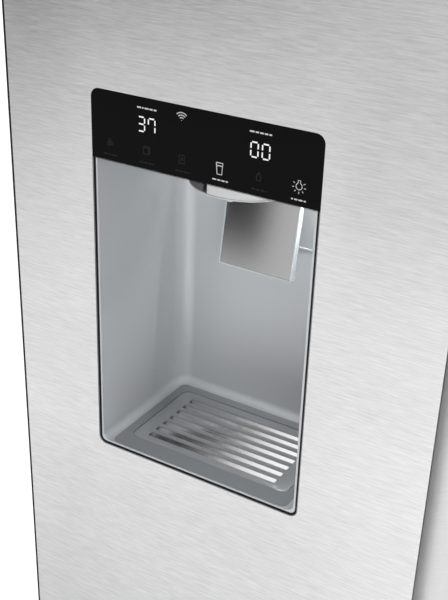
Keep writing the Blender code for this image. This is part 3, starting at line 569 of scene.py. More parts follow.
def build_world():
    """A pale studio. It is dimmer ahead, nearly dark overhead, with a dark doorway on the left."""
    world = bpy.data.worlds.new("studio")
    bpy.context.scene.world = world
    nodes = Nodes(world, "Background")
    split = nodes.add("ShaderNodeSeparateXYZ")
    nodes.join(nodes.add("ShaderNodeTexCoord").outputs["Generated"], split.inputs["Vector"])
    x, y, z = (split.outputs[axis] for axis in "XYZ")

    def smooth_range(value, low, high, out_low=0.0, out_high=1.0):
        return nodes.ramp(value, low, high, out_low, out_high, interpolation_type="SMOOTHSTEP")

    ahead = smooth_range(y, 0.15, -0.35)
    height = smooth_range(z, 0.10, 0.50, FRONT_HORIZON, FRONT_OVERHEAD)
    bearing = nodes.math("ARCTAN2", x, y)
    left_jamb = smooth_range(bearing, math.radians(-158.5), math.radians(-151.5))
    right_jamb = smooth_range(bearing, math.radians(-115), math.radians(-125))
    doorway = nodes.math("MULTIPLY", left_jamb, right_jamb)
    doorway = nodes.math("MULTIPLY", doorway, smooth_range(z, -0.17, -0.11))
    height = nodes.math("MULTIPLY", height, smooth_range(doorway, 0.0, 1.0, 1.0, DOORWAY_TONE))
    blend = nodes.add("ShaderNodeMix")
    nodes.join(ahead, blend.inputs["Factor"])
    blend.inputs[2].default_value = BACKGROUND
    nodes.join(height, blend.inputs[3])
    nodes.feed(blend.outputs[0], "Strength")
    nodes.fix(Color=(1.0, 1.0, 1.0, 1.0))


def area_light(name, place, target, size, power, colour=(1, 1, 1)):
    data = bpy.data.lights.new(name, "AREA")
    data.shape = "SQUARE"
    data.size = size
    data.energy = power
    data.color = colour
    light = bpy.data.objects.new(name, data)
    bpy.context.scene.collection.objects.link(light)
    light.location = place
    aim = Vector(target) - Vector(place)
    light.rotation_euler = aim.to_track_quat("-Z", "Y").to_euler()
    return light


def build_floor():
    """A wide pale floor that glows like a light table, less so round a painted shadow near the left front
    corner.
    """
    builder = bmesh.new()
    bmesh.ops.create_circle(builder, cap_ends=True, segments=96, radius=4.5)
    floor = from_builder("floor", builder)
    floor.location = (0, 0, -0.0005)
    nodes = Nodes(bpy.data.materials.new("floor"))
    nodes.feed(nodes.mix(nodes.noise(3), (0.90, 0.90, 0.90), (0.95, 0.95, 0.95)), "Base Color")
    # Painted shadow: the floor's glow is lowered round a spot near the left front corner.
    away = nodes.add("ShaderNodeVectorMath", operation="DISTANCE")
    nodes.join(nodes.place(1), away.inputs[0])
    away.inputs[1].default_value = PAINTED_SHADOW_PLACE
    painted_shadow_fade = nodes.ramp(away.outputs["Value"], 0.10, 0.85, 0.0, 1.0)
    nodes.feed(nodes.mix(painted_shadow_fade, (PAINTED_SHADOW_GLOW,) * 3, (FLOOR_GLOW,) * 3), "Emission Color")
    nodes.fix(Emission_Strength=1.0, Roughness=0.7)
    floor.data.materials.append(nodes.owner)


build_camera()
build_world()
build_floor()
key = area_light("key", place=(1.5, -2.8, 1.5), target=(-0.3, -0.3, 1.1), size=1.6, power=30)
key.visible_glossy = False
area_light("softbox", place=(-0.628, -1.8, 2.85), target=(-0.28, -0.29, 0.94), size=1.45, power=11.5)
bpy.context.scene.view_settings.view_transform = "Standard"


# ---------------------------------------------------------------- doors, outside

def window(inset, radius=None, bottom=None, top=None):
    """The dispenser's outline in the door front, drawn in by an inset."""
    radius = max(OPEN_RADIUS - inset, 0.0012) if radius is None else radius
    low = OPEN_BOTTOM + inset if bottom is None else bottom
    high = OPEN_TOP - inset if top is None else top
    return rounded((OPEN_LEFT + inset, low), (OPEN_RIGHT - inset, high), radius, 8)


def build_door_front(name, low, high, free_side):
    """A folded sheet: flat front, rounded edges, returns along the top, bottom and hinge side."""
    slab = block(name, low, high)
    hinge_x = low.x if free_side > 0 else high.x
    lip_low, lip_high = sorted((hinge_x - free_side * 0.01,
                                hinge_x + free_side * (EDGE_STRIP + GAP / 3)))
    cut(slab, block(name + "_lip", (lip_low, low.y - 0.01, low.z - 0.01),
                    (lip_high, low.y + 0.0062, high.z + 0.01)))
    outer = eased(slab, 0.0006, 3)
    side_wall = EDGE_STRIP + SHEET
    hollow = block(name + "_hollow", (low.x + side_wall, low.y + SHEET, low.z + SHEET),
                   (high.x - side_wall, high.y + 0.05, high.z - SHEET))
    edge = high.x if free_side > 0 else low.x
    x_low, x_high = sorted((edge - free_side * 0.002, edge + free_side * 0.01))
    free = block(name + "_free", (x_low, low.y + 0.012, low.z - 0.01),
                 (x_high, high.y + 0.05, high.z + 0.01))
    bushes = [rod(name + "_bush", (-free_side * PIVOT.x, PIVOT.y, z), "Z", 0.0050, -0.02, 0.02)
              for z in (low.z, high.z)]
    return cut(outer, hollow, free, *bushes)


def build_edge_strip(name, low, high, free_side, body):
    """The dark lip along a door's hinge side, where the sheet is turned back: partly a dark edge trim,
    partly painted shade for the dark line along the rounded edge.
    """
    edge = low.x if free_side > 0 else high.x
    inner = edge + free_side * EDGE_STRIP
    # Painted shade: the strip's black also stands for the dark line that falls along the door's rounded
    # edge.
    soft_block(name, (min(edge, inner), low.y + 0.0001, low.z + 0.001),
               (max(edge, inner), low.y + 0.006, high.z - 0.001), 0.0007, 3, "trim_black", body)


def build_door_fronts():
    """Both door fronts. The dispenser's window is cut in the freezer's."""
    for word, free_side in (("freezer", 1), ("fridge", -1)):
        low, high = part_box(f"{word}_door_skin")
        front = build_door_front(f"{word}_front", low, high, free_side)
        if word == "freezer":
            cut(front, prism("front_window", window(0.0), "Y", FRONT - 0.01, FRONT + 0.01))
        dress(front, "steel", f"{word}_door", f"{word}_door_skin")
        build_edge_strip(f"{word}_front_lip", low, high, free_side, f"{word}_door")


def scoop(edge, direction, shrink, start=0, stop=90, steps=24):
    points = arc((0, FRONT), (-(SCOOP_WIDTH + shrink), SCOOP_DEPTH + shrink), start, stop, steps)
    return [(edge + direction * a, b) for a, b in points]


def build_handles():
    """The channels that the doors' meeting edges curve back into: bent sheets with capped ends."""
    for word, inward in (("freezer", 1), ("fridge", -1)):
        node = f"{word}_door_handle"
        low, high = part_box(node)
        edge = high.x if inward > 0 else low.x
        flat_x = edge - inward * SCOOP_WIDTH
        outline = [(flat_x + inward * GAP, FRONT + 0.0006), (flat_x + inward * 0.0006, FRONT + 0.0002)]
        outline += scoop(edge, inward, -GAP, 4, 90)
        heel = DOOR_BACK - 0.0004
        outline += [(edge - inward * 0.0002, heel), (edge - inward * 0.0013, heel)]
        outline += scoop(edge, inward, 0.0012, 87.2, 20.0, 16)
        outline.append((flat_x + inward * GAP, outline[-1][1]))
        handle = prism(f"{word}_channel", outline, "Z", low.z, high.z)
        # Darker steel: partly the channel's own finish, partly painted shade in the scoop.
        dress(handle, "channel", f"{word}_door", node, angle=25)
        section = scoop(edge, inward, GAP, 6, 90)
        section += [(edge - inward * 0.0006, heel), (flat_x + inward * GAP, heel),
                    (flat_x + inward * GAP, section[0][1])]
        caps = bmesh.new()
        for z in (low.z + 0.0002, high.z - 0.0002 - SHEET):
            add_prism(caps, section, "Z", z, z + SHEET)
        dress(from_builder(f"{word}_channel_caps", caps), "channel", f"{word}_door", angle=25)


# ---------------------------------------------------------------- dispenser

def build_housing():
    """The moulded recess: rounded back corners, a fillet along the floor, a seat for the grille."""
    back = RECESS_BACK
    body = prism("recess_moulding", window(0.0024), "Y", FRONT + 0.0006, HOUSING_HIGH.y)
    housing = eased(body, 0.0006, 3)
    basin_low = (GRILLE_LOW.x - 0.006, GRILLE_LOW.y - 0.006, HOUSING_LOW.z)
    basin_high = (GRILLE_HIGH.x + 0.006, GRILLE_HIGH.y + 0.006, RECESS_FLOOR - 0.0005)
    fuse(housing, block("basin", basin_low, basin_high))
    corner = 0.014
    left = OPEN_LEFT + RECESS_INSET
    right = OPEN_RIGHT - RECESS_INSET
    plan = [(left, FRONT - 0.03), (right, FRONT - 0.03)]
    plan += arc((right - corner, back - corner), (corner, corner), 0, 90, 12)
    plan += arc((left + corner, back - corner), (corner, corner), 90, 180, 12)
    cavity = prism("cavity", plan, "Z", RECESS_FLOOR, RECESS_TOP)
    marks = cavity.data.attributes.new("bevel_weight_edge", "FLOAT", "EDGE")
    for edge, mark in zip(cavity.data.edges, marks.data):
        heights = [cavity.data.vertices[v].co.z for v in edge.vertices]
        mark.value = 1.0 if max(heights) < RECESS_FLOOR + 0.001 else 0.0
    fillet = cavity.modifiers.new("floor_fillet", "BEVEL")
    fillet.width = 0.007
    fillet.segments = 8
    fillet.limit_method = "WEIGHT"
    settle(cavity)
    panel_room = block("panel_room", (OPEN_LEFT - 0.01, FRONT - 0.01, PANEL_BOTTOM - GAP),
                       (OPEN_RIGHT + 0.01, PANEL_HIGH.y + GAP, OPEN_TOP + 0.01))
    seat_outline = rounded((GRILLE_LOW.x - 0.0005, GRILLE_LOW.y - 0.0005),
                           (GRILLE_HIGH.x + 0.0005, GRILLE_HIGH.y + 0.0005), 0.0075, 8)
    seat = prism("seat", seat_outline, "Z", RECESS_FLOOR - 0.0015, 1.0)
    well = prism("well", rounded((GRILLE_LOW.x + 0.004, GRILLE_LOW.y + 0.004),
                                 (GRILLE_HIGH.x - 0.004, GRILLE_HIGH.y - 0.004), 0.004, 6),
                 "Z", HOUSING_LOW.z + 0.002, 1.0)
    throat = rod("throat", (SPOUT_MIDDLE, FRONT + 0.065, 0), "Z", 0.0253, 1.15, 1.35, 32)
    cut(housing, cavity, panel_room, seat, well, throat)
    dress(housing, "grey", "freezer_door", "dispenser_housing", angle=30)
    mat_outline = rounded((left + 0.0075, FRONT + 0.0016), (right - 0.0075, back - 0.0075), 0.006, 8)
    mat_low, mat_high = RECESS_FLOOR - 0.0004, RECESS_FLOOR + 0.0003
    mat = rim("floor_mat", [(mat_outline, mat_low), (mat_outline, mat_high),
                            (seat_outline, mat_high), (seat_outline, mat_low)], "Z")
    # The mat's darker grey is partly painted shade: the recess floor that little light reaches.
    dress(mat, "tray", "freezer_door")
    # A real step in the back wall; its paler colour than the wall is a painted highlight line along it.
    soft_block("recess_ledge", (LEDGE_LEFT, back - 0.0009, LEDGE_BOTTOM),
               (right - corner - 0.002, back + 0.0004, LEDGE_TOP), 0.0003, 2, "haze", "freezer_door")


def build_lamps():
    """Two small lenses in the recess ceiling, each with a lamp under it. They move with the door."""
    white = (1.0, 0.99, 0.97)
    y = RECESS_BACK - 0.021
    for word, x, power in (("left", OPEN_LEFT + 0.030, 0.008), ("right", OPEN_RIGHT - 0.024, 0.17)):
        outline = rounded((x - 0.010, y - 0.006), (x + 0.010, y + 0.006), 0.003, 6)
        lens = prism(f"lamp_lens_{word}", outline, "Z", RECESS_TOP - 0.0016, RECESS_TOP - 0.0001)
        dress(soften(lens, 0.0005, 3), "lamp", "freezer_door")
        lamp = area_light(f"lamp_{word}", (x, y, RECESS_TOP - 0.004), (x, y, 0.0), 0.018, power, white)
        place = lamp.matrix_basis.copy()
        lamp.parent = BODIES["freezer_door"]
        bpy.context.view_layer.update()
        lamp.matrix_parent_inverse = BODIES["freezer_door"].matrix_world.inverted()
        lamp.matrix_basis = place


def build_trim():
    """The black frame round the recess, stepped back inside, with a fine bright bead on its face."""
    top = PANEL_BOTTOM - 2 * GAP

    def ring(inset):
        radius = max(OPEN_RADIUS - inset, 0.0012)
        return window(inset, (radius, radius, 0.0001, 0.0001), None, top)

    def around(name, section):
        return rim(name, [(ring(inset), FRONT + depth) for inset, depth in section])

    stepped = [(0.0003, 0.0012), (0.0003, 0.0004), (0.0007, 0.0004),
               (0.0007, 0.0010), (0.0026, 0.0010), (0.0026, 0.0012)]
    dress(around("trim_frame", stepped), "trim_black", "freezer_door", "dispenser_trim")
    bead = [(0.0004, 0.0005), (0.0004, 0.0002), (0.0006, 0.0002), (0.0006, 0.0005)]
    dress(around("trim_bead", bead), "bead", "freezer_door")


def build_panel():
    """The black glass, with rounded upper corners and a polished edge."""
    radius = OPEN_RADIUS - GAP
    outline = window(GAP, (0.0002, 0.0002, radius, radius), PANEL_BOTTOM, OPEN_TOP - GAP)
    glass = prism("panel_glass", outline, "Y", FRONT, PANEL_HIGH.y)
    dress(soften(glass, 0.0003, 2, 60), "glass_black", "freezer_door", "control_panel")


# Seven segments, in a cell one wide and two high: each is a pair of corner points.
SEGMENTS = {
    "a": ((0, 2), (1, 2)), "b": ((1, 2), (1, 1)), "c": ((1, 1), (1, 0)), "d": ((0, 0), (1, 0)),
    "e": ((0, 1), (0, 0)), "f": ((0, 2), (0, 1)), "g": ((0, 1), (1, 1)),
}
FIGURES = {"0": "abcdef", "3": "abcdg", "7": "abcf"}


def print_strokes(name, routes, width, finish):
    """Thin raised lines on the glass. Routes are (x, z) from the dispenser's lower left corner."""
    lift = 0.15
    placed_routes = [[(OPEN_LEFT + x, FRONT, OPEN_BOTTOM + z) for x, z in route] for route in routes]
    made = pipe(name, placed_routes, width / 2, sides=2)
    for vertex in made.data.vertices:
        vertex.co.y = FRONT - 0.00005 + (vertex.co.y - FRONT) * lift
    dress(made, finish, "freezer_door", angle=60)


def figure_routes(figure, x, z, width, height, gap):
    routes = []
    for segment in FIGURES[figure]:
        ends = [Vector((x + a * width, z + b * height / 2)) for a, b in SEGMENTS[segment]]
        along = (ends[1] - ends[0]).normalized() * gap
        routes.append([tuple(ends[0] + along), tuple(ends[1] - along)])
    return routes


def circle_route(centre, radius, start=0, stop=360, steps=20):
    return arc(centre, (radius, radius), start, stop, steps)


def build_graphics():
    """Temperatures in seven-segment figures, plain bars in place of words, simple pictograms."""
    millimetre = 0.001
    figures = []
    for text, x, z in (("37", 42.0, 282.6), ("00", 135.0, 282.2)):
        for i, figure in enumerate(text):
            figures += figure_routes(figure, (x + i * 8.9) * millimetre, z * millimetre,
                                     5.6 * millimetre, 10.4 * millimetre, 0.75 * millimetre)
    print_strokes("figures", figures, 0.00105, "lit")

    def scaled(routes, x, z):
        return [[((x + a) * millimetre, (z + b) * millimetre) for a, b in route] for route in routes]

    def bar(x, z, lengths):
        gap = 0.9
        routes = []
        for length in lengths:
            routes += scaled([[(0, 0), (length, 0)]], x, z)
            x += length + gap
        return routes

    labels = bar(41.2, 299.8, (3.4, 1.2, 3.4, 2.6, 2.4)) + bar(133.6, 299.8, (3.6, 2.6, 2.6, 2.6, 2.0))
    print_strokes("upper_marks", labels, 0.0011, "lit_mark")
    lower = bar(105.2, 259.8, (3.2, 2.4, 2.6, 1.8)) + bar(167.6, 259.2, (1.4, 2.4, 3.0, 1.6))
    print_strokes("lower_marks", lower, 0.0010, "lit_mark")

    signal = [circle_route((0, 0), r, 45, 135, 10) for r in (2.2, 4.0, 5.8)]
    signal.append([(-0.15, 0.2), (0.15, 0.2)])
    print_strokes("signal_mark", scaled(signal, 79.0, 296.6), 0.00065, "lit_mark")
    tumbler = [[(-2.6, 4.2), (-1.9, -4.2), (1.9, -4.2), (2.6, 4.2), (-2.6, 4.2)],
               [(-2.4, 2.0), (2.4, 2.0)]]
    print_strokes("tumbler_mark", scaled(tumbler, 110.8, 268.2), 0.00070, "lit_mark")
    bulb = [circle_route((0, 0), 2.3, 115, 425), [(-0.9, 2.1), (-0.9, 4.2), (0.9, 4.2), (0.9, 2.1)]]
    for turn in (150, 190, 230, 270, 310, 350, 30):
        direction = Vector((math.cos(math.radians(turn)), math.sin(math.radians(turn))))
        bulb.append([tuple(direction * 3.8), tuple(direction * 5.2)])
    print_strokes("bulb_mark", scaled(bulb, 173.0, 268.8), 0.00050, "lit_mark")

    crushed = [[(-2, -2), (0, -2), (0, 0), (-2, 0), (-2, -2)],
               [(0.6, -1), (2.6, -1), (2.6, 1), (0.6, 1), (0.6, -1)],
               [(-1, 0.8), (1, 0.8), (1, 2.8), (-1, 2.8), (-1, 0.8)]]
    cube = [[(-2.4, -2.2), (2.0, -2.2), (2.0, 2.2), (-2.4, 2.2), (-2.4, -2.2)],
            [(-2.4, 2.2), (-1.2, 3.4), (3.2, 3.4), (3.2, -1.0), (2.0, -2.2)], [(2.0, 2.2), (3.2, 3.4)]]
    door = [[(-2.4, -3), (-2.4, 3), (2.4, 3), (2.4, -3), (-2.4, -3)],
            [(-0.6, -1), (-0.6, 1.4)], [(0.6, -1), (0.6, 1.4)]]
    drop = [[(0, 3.6), (-1.6, 0.8), (-1.9, -0.8), (-1.0, -2.2), (0, -2.6), (1.0, -2.2), (1.9, -0.8),
             (1.6, 0.8), (0, 3.6)]]
    for name, routes, x in (("crushed_mark", crushed, 16.6), ("cube_mark", cube, 48.8),
                            ("lock_mark", door, 79.7), ("drop_mark", drop, 142.0)):
        print_strokes(name, scaled(routes, x, 268.5), 0.0007, "unlit")
        print_strokes(name + "_bar", bar(x - 5.5, 259.6, (3.2, 2.4, 2.8, 1.2)), 0.0009, "unlit")


def build_spout():
    """The round spout: a bright collar between dark side shells, whose dark colour is a painted reflection
    of dark surroundings, and a rim round its foot.
    """
    centre = SPOUT_CENTRE
    radius = SPOUT_RADIUS
    back = SPOUT_HIGH.y
    reach = math.degrees(math.asin((back - centre[1]) / radius))
    slit_turn = 270 - 15.5
    slit_half = 3.0
    foot = SPOUT_LOW.z
    step = foot + 0.0018
    wall_foot = step - 0.0006

    def sector(outer, start, stop, steps):
        return arc(centre, (outer, outer), start, stop, steps)

    def shell(name, start, stop, outer, finish, *stands_for):
        """A curved wall with a rounded foot, between two bearings."""
        wall = 0.0022
        outline = sector(outer, start, stop, 48) + sector(outer - wall, stop, start, 48)
        made = prism(name, outline, "Z", wall_foot, SPOUT_HIGH.z)
        dress(soften(made, 0.0003, 2, 50), finish, "freezer_door", *stands_for)

    shell("spout_collar", slit_turn + slit_half, 360 + 2, radius - 0.0003, "silver", "spout")
    # These two side shells are painted dark: a painted reflection of dark surroundings in the curved spout.
    shell("spout_cheek", 180 - reach, slit_turn - slit_half, radius - 0.0003, "cheek")
    shell("spout_painted_dark_right", 360 + 3, 360 + reach, radius - 0.0012, "cheek")
    liner_outline = sector(radius - 0.0032, 180 - reach, 360 + reach, 48)
    liner_outline += sector(radius - 0.0044, 360 + reach, 180 - reach, 48)
    dress(prism("spout_inner", liner_outline, "Z", step + 0.0005, SPOUT_HIGH.z), "dark", "freezer_door")
    floor_outline = sector(radius, 180 - reach, 360 + reach, 64)
    plate = eased(prism("spout_foot", floor_outline, "Z", foot, step - GAP), 0.0006, 3, 50)
    mouth_outline = rounded((SPOUT_MIDDLE - 0.0262, FRONT + 0.043),
                            (SPOUT_MIDDLE + 0.0262, FRONT + 0.0902), 0.006, 8)
    mouth = prism("mouth", mouth_outline, "Z", foot - 0.01, step + 0.01)
    nozzle_low, nozzle_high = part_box("water_nozzle")
    nozzle_x = (nozzle_low.x + nozzle_high.x) / 2
    nozzle_y = (nozzle_low.y + nozzle_high.y) / 2
    hole = rod("nozzle_hole", (nozzle_x, nozzle_y, 0), "Z", 0.0043, foot - 0.01, step + 0.01, 28)
    cut(plate, mouth, hole)
    dress(plate, "silver", "freezer_door")
    tip = [(0.0026, nozzle_low.z), (0.0034, nozzle_low.z + 0.0004), (0.0040, nozzle_low.z + 0.0016),
           (0.0040, nozzle_high.z), (0.0022, nozzle_high.z), (0.0022, nozzle_low.z + 0.002)]
    tube = turned("nozzle_tube", tip, (nozzle_x, nozzle_y, 0), "Z", 32)
    dress(tube, "silver", "freezer_door", "water_nozzle")


def leant(made):
    """Turns a piece drawn hanging straight from the origin to the paddle's rest angle."""
    turn = Matrix.Translation(PADDLE_HINGE) @ Matrix.Rotation(-PADDLE_LEAN, 4, "X")
    made.data.transform(turn)
    return made


def build_paddle():
    """The lever: a slightly bowed brushed plate in a hazy frame whose right side is wide."""
    half = 0.0673 / 2
    drop = 0.1075
    face = -0.0008
    bow = 0.0005
    frame_outline = rounded((-half, -drop), (half, 0.0005), 0.0012, 4)
    carrier = eased(prism("paddle_frame", frame_outline, "Y", face, face + 0.0066), 0.0003, 2, 60)
    hollow = block("paddle_hollow", (-half + 0.0020, face + 0.0032, -drop + 0.0020),
                   (half - 0.0020, 0.03, -0.0060))
    seat = block("paddle_seat", (-half + 0.0010, face - 0.01, -drop + 0.0010),
                 (half - 0.0010, face + 0.0014, -0.0040))
    cut(carrier, hollow, seat)
    fuse(carrier, rod("paddle_axle", (0, 0, 0), "X", 0.0026, -half - 0.0040, half + 0.0040, 20))
    dress(leant(carrier), "haze", "paddle", "paddle_carrier")
    steps = 24
    width = half - 0.0012
    crown = []
    for i in range(steps + 1):
        t = 2 * i / steps - 1
        crown.append((t * width, face + bow * t * t))
    under = [(x, y + 0.0006) for x, y in reversed(crown)]
    plate = prism("paddle_face", crown + under, "Z", -drop + 0.0012, -0.0042)
    dress(leant(plate), "steel_plate", "paddle", "paddle_plate", angle=40)


def build_grille():
    """A plate with seven slots. In each one a polished vane slopes down from back to front."""
    low, high = GRILLE_LOW, GRILLE_HIGH
    slots = 7
    pitch = 0.0105
    half = 0.0030
    plate = prism("grille_plate", rounded((low.x, low.y), (high.x, high.y), 0.007, 8), "Z", low.z, high.z)
    eased(plate, 0.0003, 2, 60)
    centre = (low.y + high.y) / 2 - 0.001
    left = low.x + 0.013
    right = high.x - 0.014
    rows = [centre + (i - (slots - 1) / 2) * pitch for i in range(slots)]
    outlines = [rounded((left, y - half), (right, y + half), 0.0006, 3) for y in rows]
    cut(plate, *(prism(f"slot_{i}", outline, "Z", 0.9, 1.0) for i, outline in enumerate(outlines)))
    dress(plate, "grille", "drip_grille", "drip_grille")
    tilt = math.radians(VANE_TILT)
    reach = half * 1.05
    rise = math.tan(tilt) * reach
    for i, y in enumerate(rows):
        front = (y - reach, high.z - 0.0006 - 2 * rise)
        back = (y + reach, high.z - 0.0006)
        section = [front, back, (back[0], back[1] - 0.0008), (front[0], front[1] - 0.0008)]
        left_end = [(left + 0.0036 - (a - front[0]) * 0.6, a, b) for a, b in section]
        right_end = [(right - 0.0008, a, b) for a, b in section]
        vane = loft(f"grille_vane_{i}", [left_end, right_end])
        dress(vane, "polished", "drip_grille")


build_door_fronts()
build_handles()
build_housing()
build_lamps()
build_trim()
build_panel()
build_graphics()
build_spout()
build_paddle()
build_grille()

# ---------------------------------------------------------------- shared fittings

def copies(name, template, places):
    """One mesh made of copies of a piece, each moved to a place. The template is used up."""
    builder = bmesh.new()
    for place in places:
        mesh = template.data.copy()
        mesh.transform(place if isinstance(place, Matrix) else Matrix.Translation(place))
        builder.from_mesh(mesh)
        bpy.data.meshes.remove(mesh)
    bpy.data.objects.remove(template)
    return from_builder(name, builder)


def screws(name, places, axis, direction, size=0.0035):
    """Pan-head screws that face along an axis."""
    profile = [(size, 0.0), (size, 0.0005 * direction), (size * 0.75, 0.0012 * direction),
               (0, 0.0015 * direction)]
    dress(copies(name, turned("head", profile, (0, 0, 0), axis, 16), places), "zinc", "cabinet")


def tray(name, low, high, body, *stands_for, wall=0.0024, radius=0.012, grip=0.0):
    """An open-topped clear box with a stepped rim. A grip in front makes room for a handle."""
    step = 0.0020
    rim_height = 0.010
    front = low.y + grip
    outline = rounded((low.x + step, front + step), (high.x - step, high.y - step), radius)
    shell = eased(prism(name, outline, "Z", low.z, high.z - 0.001), 0.004, 3)
    band = prism(name + "_band", rounded((low.x, front), (high.x, high.y), radius + step), "Z",
                 high.z - rim_height, high.z)
    eased(band, 0.0008, 2)
    fuse(shell, band)
    inside = step + wall
    hollow = rounded((low.x + inside, front + inside), (high.x - inside, high.y - inside), radius - wall)
    room = eased(prism(name + "_room", hollow, "Z", low.z + wall, high.z + 0.02), 0.003, 2)
    cut(shell, room)
    if grip:
        lip = [(low.y, high.z - 0.024), (low.y + 0.003, high.z - 0.024),
               (low.y + 0.003, high.z - 0.004), (front + 0.003, high.z - 0.004),
               (front + 0.003, high.z - 0.0005), (low.y, high.z - 0.0005)]
        handle = eased(prism(name + "_grip", lip, "X", low.x + 0.05, high.x - 0.05), 0.0008, 2)
        fuse(shell, handle)
    dress(shell, "clear", body, *stands_for)


def shelf(name, low, high, *stands_for):
    """A glass pane in a moulded rim, with a steel strip let into its front edge."""
    soft_block(name + "_pane", (low.x + 0.004, low.y + 0.006, low.z + 0.001),
               (high.x - 0.004, high.y - 0.004, high.z - 0.0004),
               0.0003, 1, "shelf_glass", "cabinet", *stands_for)
    outer = rounded((low.x, low.y), (high.x, high.y), 0.006)
    inner = rounded((low.x + 0.010, low.y + 0.014), (high.x - 0.010, high.y - 0.010), 0.004)
    ring = rim(name + "_rim", [(outer, low.z), (outer, high.z), (inner, high.z), (inner, low.z)], "Z")
    dress(soften(ring, 0.0006, 2), "white", "cabinet")
    strip = block(name + "_strip", (low.x + 0.008, low.y - 0.0004, low.z + 0.0012),
                  (high.x - 0.008, low.y + 0.0004, high.z - 0.0012))
    dress(strip, "silver", "cabinet")


def shelf_rails(name, low, high, back, heights):
    """Moulded ledges on both side walls, under every shelf."""
    rails = [((x_low, low.y + 0.015, z - 0.007), (x_high, back, z - 0.0004)) for z in heights
             for x_low, x_high in ((low.x - 0.0022, low.x + 0.007), (high.x - 0.007, high.x + 0.0022))]
    soft_blocks(name, rails, 0.0008, 2, "white", "cabinet")


def vent(name, low, high, slots):
    """A thin cover with round-ended slots one above another, over a dark backing. It faces -Y."""
    plate = prism(name, rounded((low[0], low[2]), (high[0], high[2]), 0.006), "Y", low[1], high[1])
    eased(plate, 0.0005, 2)
    pitch = (high[2] - low[2]) / (slots + 1)
    rows = [low[2] + pitch * (i + 1) for i in range(slots)]
    half = pitch * 0.22
    outlines = [rounded((low[0] + 0.012, z - half), (high[0] - 0.012, z + half), pitch * 0.2, 4)
                for z in rows]
    cut(plate, prisms(name + "_slots", outlines, "Y", low[1] - 0.01, high[1] + 0.01))
    dress(plate, "white", "cabinet")
    backing = block(name + "_backing", (low[0] + 0.003, high[1] - 0.0003, low[2] + 0.003),
                    (high[0] - 0.003, high[1] + 0.0001, high[2] - 0.003))
    dress(backing, "dark", "cabinet")


def fan_wheel(name, node, axis, finish):
    """A hub with pitched, swept blades inside the fan's own box. The body has the fan's name."""
    low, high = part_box(node)
    middle = (low + high) / 2
    across = {"X": (1, 2, 0), "Y": (0, 2, 1)}[axis]
    radius = (high[across[0]] - low[across[0]]) / 2
    depth = (high[across[2]] - low[across[2]]) / 2
    hub = radius * 0.30
    blades = 5
    stations = 6
    thickness = 0.0008
    builder = bmesh.new()
    for blade in range(blades):
        sections = []
        for i in range(stations + 1):
            t = i / stations
            r = hub * 0.9 + (radius * 0.99 - hub * 0.9) * t
            start = 2 * math.pi * blade / blades + 0.35 * t
            stop = start + (2 * math.pi / blades) * (0.62 + 0.12 * t)
            corners = ((start, -depth * 0.8 + thickness), (stop, depth * 0.8),
                       (stop, depth * 0.8 - thickness), (start, -depth * 0.8))
            sections.append([middle + Vector(placed(axis, r * math.cos(turn), r * math.sin(turn), along))
                             for turn, along in corners])
        add_loft(builder, sections)
    dress(from_builder(name, builder), finish, node, node)
    profile = [(hub * 0.6, -depth), (hub * 0.92, -depth * 0.9), (hub, -depth * 0.6), (hub, depth * 0.8),
               (hub * 0.85, depth), (0.002, depth)]
    dress(turned(name + "_hub", profile, middle, axis, 36), finish, node)


def finned_coil(name, node, rows, columns):
    """Tubes that run back and forth through rows of thin fins, inside the coil's own box."""
    tube = 0.0035
    pitch = 0.009
    spare = 0.008
    low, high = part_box(node)
    routes = []
    for row in range(rows):
        z = low.z + (high.z - low.z) * (row + 0.5) / rows
        route = []
        for column in range(columns):
            y = low.y + (high.y - low.y) * (column + 0.5) / columns
            ends = [low.x + tube, high.x - tube]
            if column % 2:
                ends.reverse()
            route += [(x, y, z) for x in ends]
        routes.append(route)
    dress(pipe(name + "_tubes", routes, tube, tube * 2.5), "aluminium", "cabinet")
    fins = []
    x = low.x + spare
    while x < high.x - spare:
        fins.append(((x, low.y + 0.001, low.z + 0.001), (x + 0.0006, high.y - 0.001, high.z - 0.001)))
        x += pitch
    dress(blocks(name + "_fins", fins), "aluminium", "cabinet", node, angle=0)


# ---------------------------------------------------------------- compartments

FREEZER_SHELVES = (0.560, 0.790, 1.020)       # levels of the shelves that the CAD leaves out
FRIDGE_SHELVES = (0.750, 1.215, 1.430)
SHELF_HEIGHT = 0.006
FREEZER_SHELF_BACK = 0.214
FREEZER_RAIL_BACK = 0.205
FREEZER_BINS = (0.470, 0.690, 1.350, 1.530)   # levels of the door bins that the CAD leaves out
FRIDGE_BINS = (0.250, 0.900, 1.170)
DUCT_OUTLETS = (0.66, 0.88, 1.12, 1.34, 1.54)


def build_freezer_fittings():
    """The drawer, the shelves, the outlets in the evaporator's cover and the lights."""
    tray("frozen_food_drawer", *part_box("freezer_drawer"), "freezer_drawer", "freezer_drawer", grip=0.012)
    low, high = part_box("freezer_shelf")
    shelf("freezer_glass", low, high, "freezer_shelf")
    for i, z in enumerate(FREEZER_SHELVES, 1):
        shelf(f"freezer_rack_{i}", Vector((low.x, low.y, z)),
              Vector((high.x, FREEZER_SHELF_BACK, z + SHELF_HEIGHT)))
    shelf_rails("freezer_rails", low, high, FREEZER_RAIL_BACK, (low.z, *FREEZER_SHELVES))
    cover_low, cover_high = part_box("evaporator_cover")
    face = cover_low.y
    for word, inset, z_low, z_high, slots in (("upper", 0.04, 1.19, 1.27, 6),
                                              ("lower", 0.06, 0.575, 0.625, 4)):
        vent(f"freezer_outlet_{word}", (cover_low.x + inset, face - 0.0016, z_low),
             (cover_high.x - inset, face - 0.0002, z_high), slots)
    places = [(x, face, z) for x in (cover_low.x + 0.012, cover_high.x - 0.012)
              for z in (0.565, 0.94, 1.315)]
    screws("cover_screws", places, "Y", -1)
    for i, z in enumerate((0.70, 1.09)):
        soft_block(f"freezer_light_{i}", (-0.330, face - 0.0060, z), (-0.162, face - 0.0002, z + 0.030),
                   0.002, 3, "lamp", "cabinet")


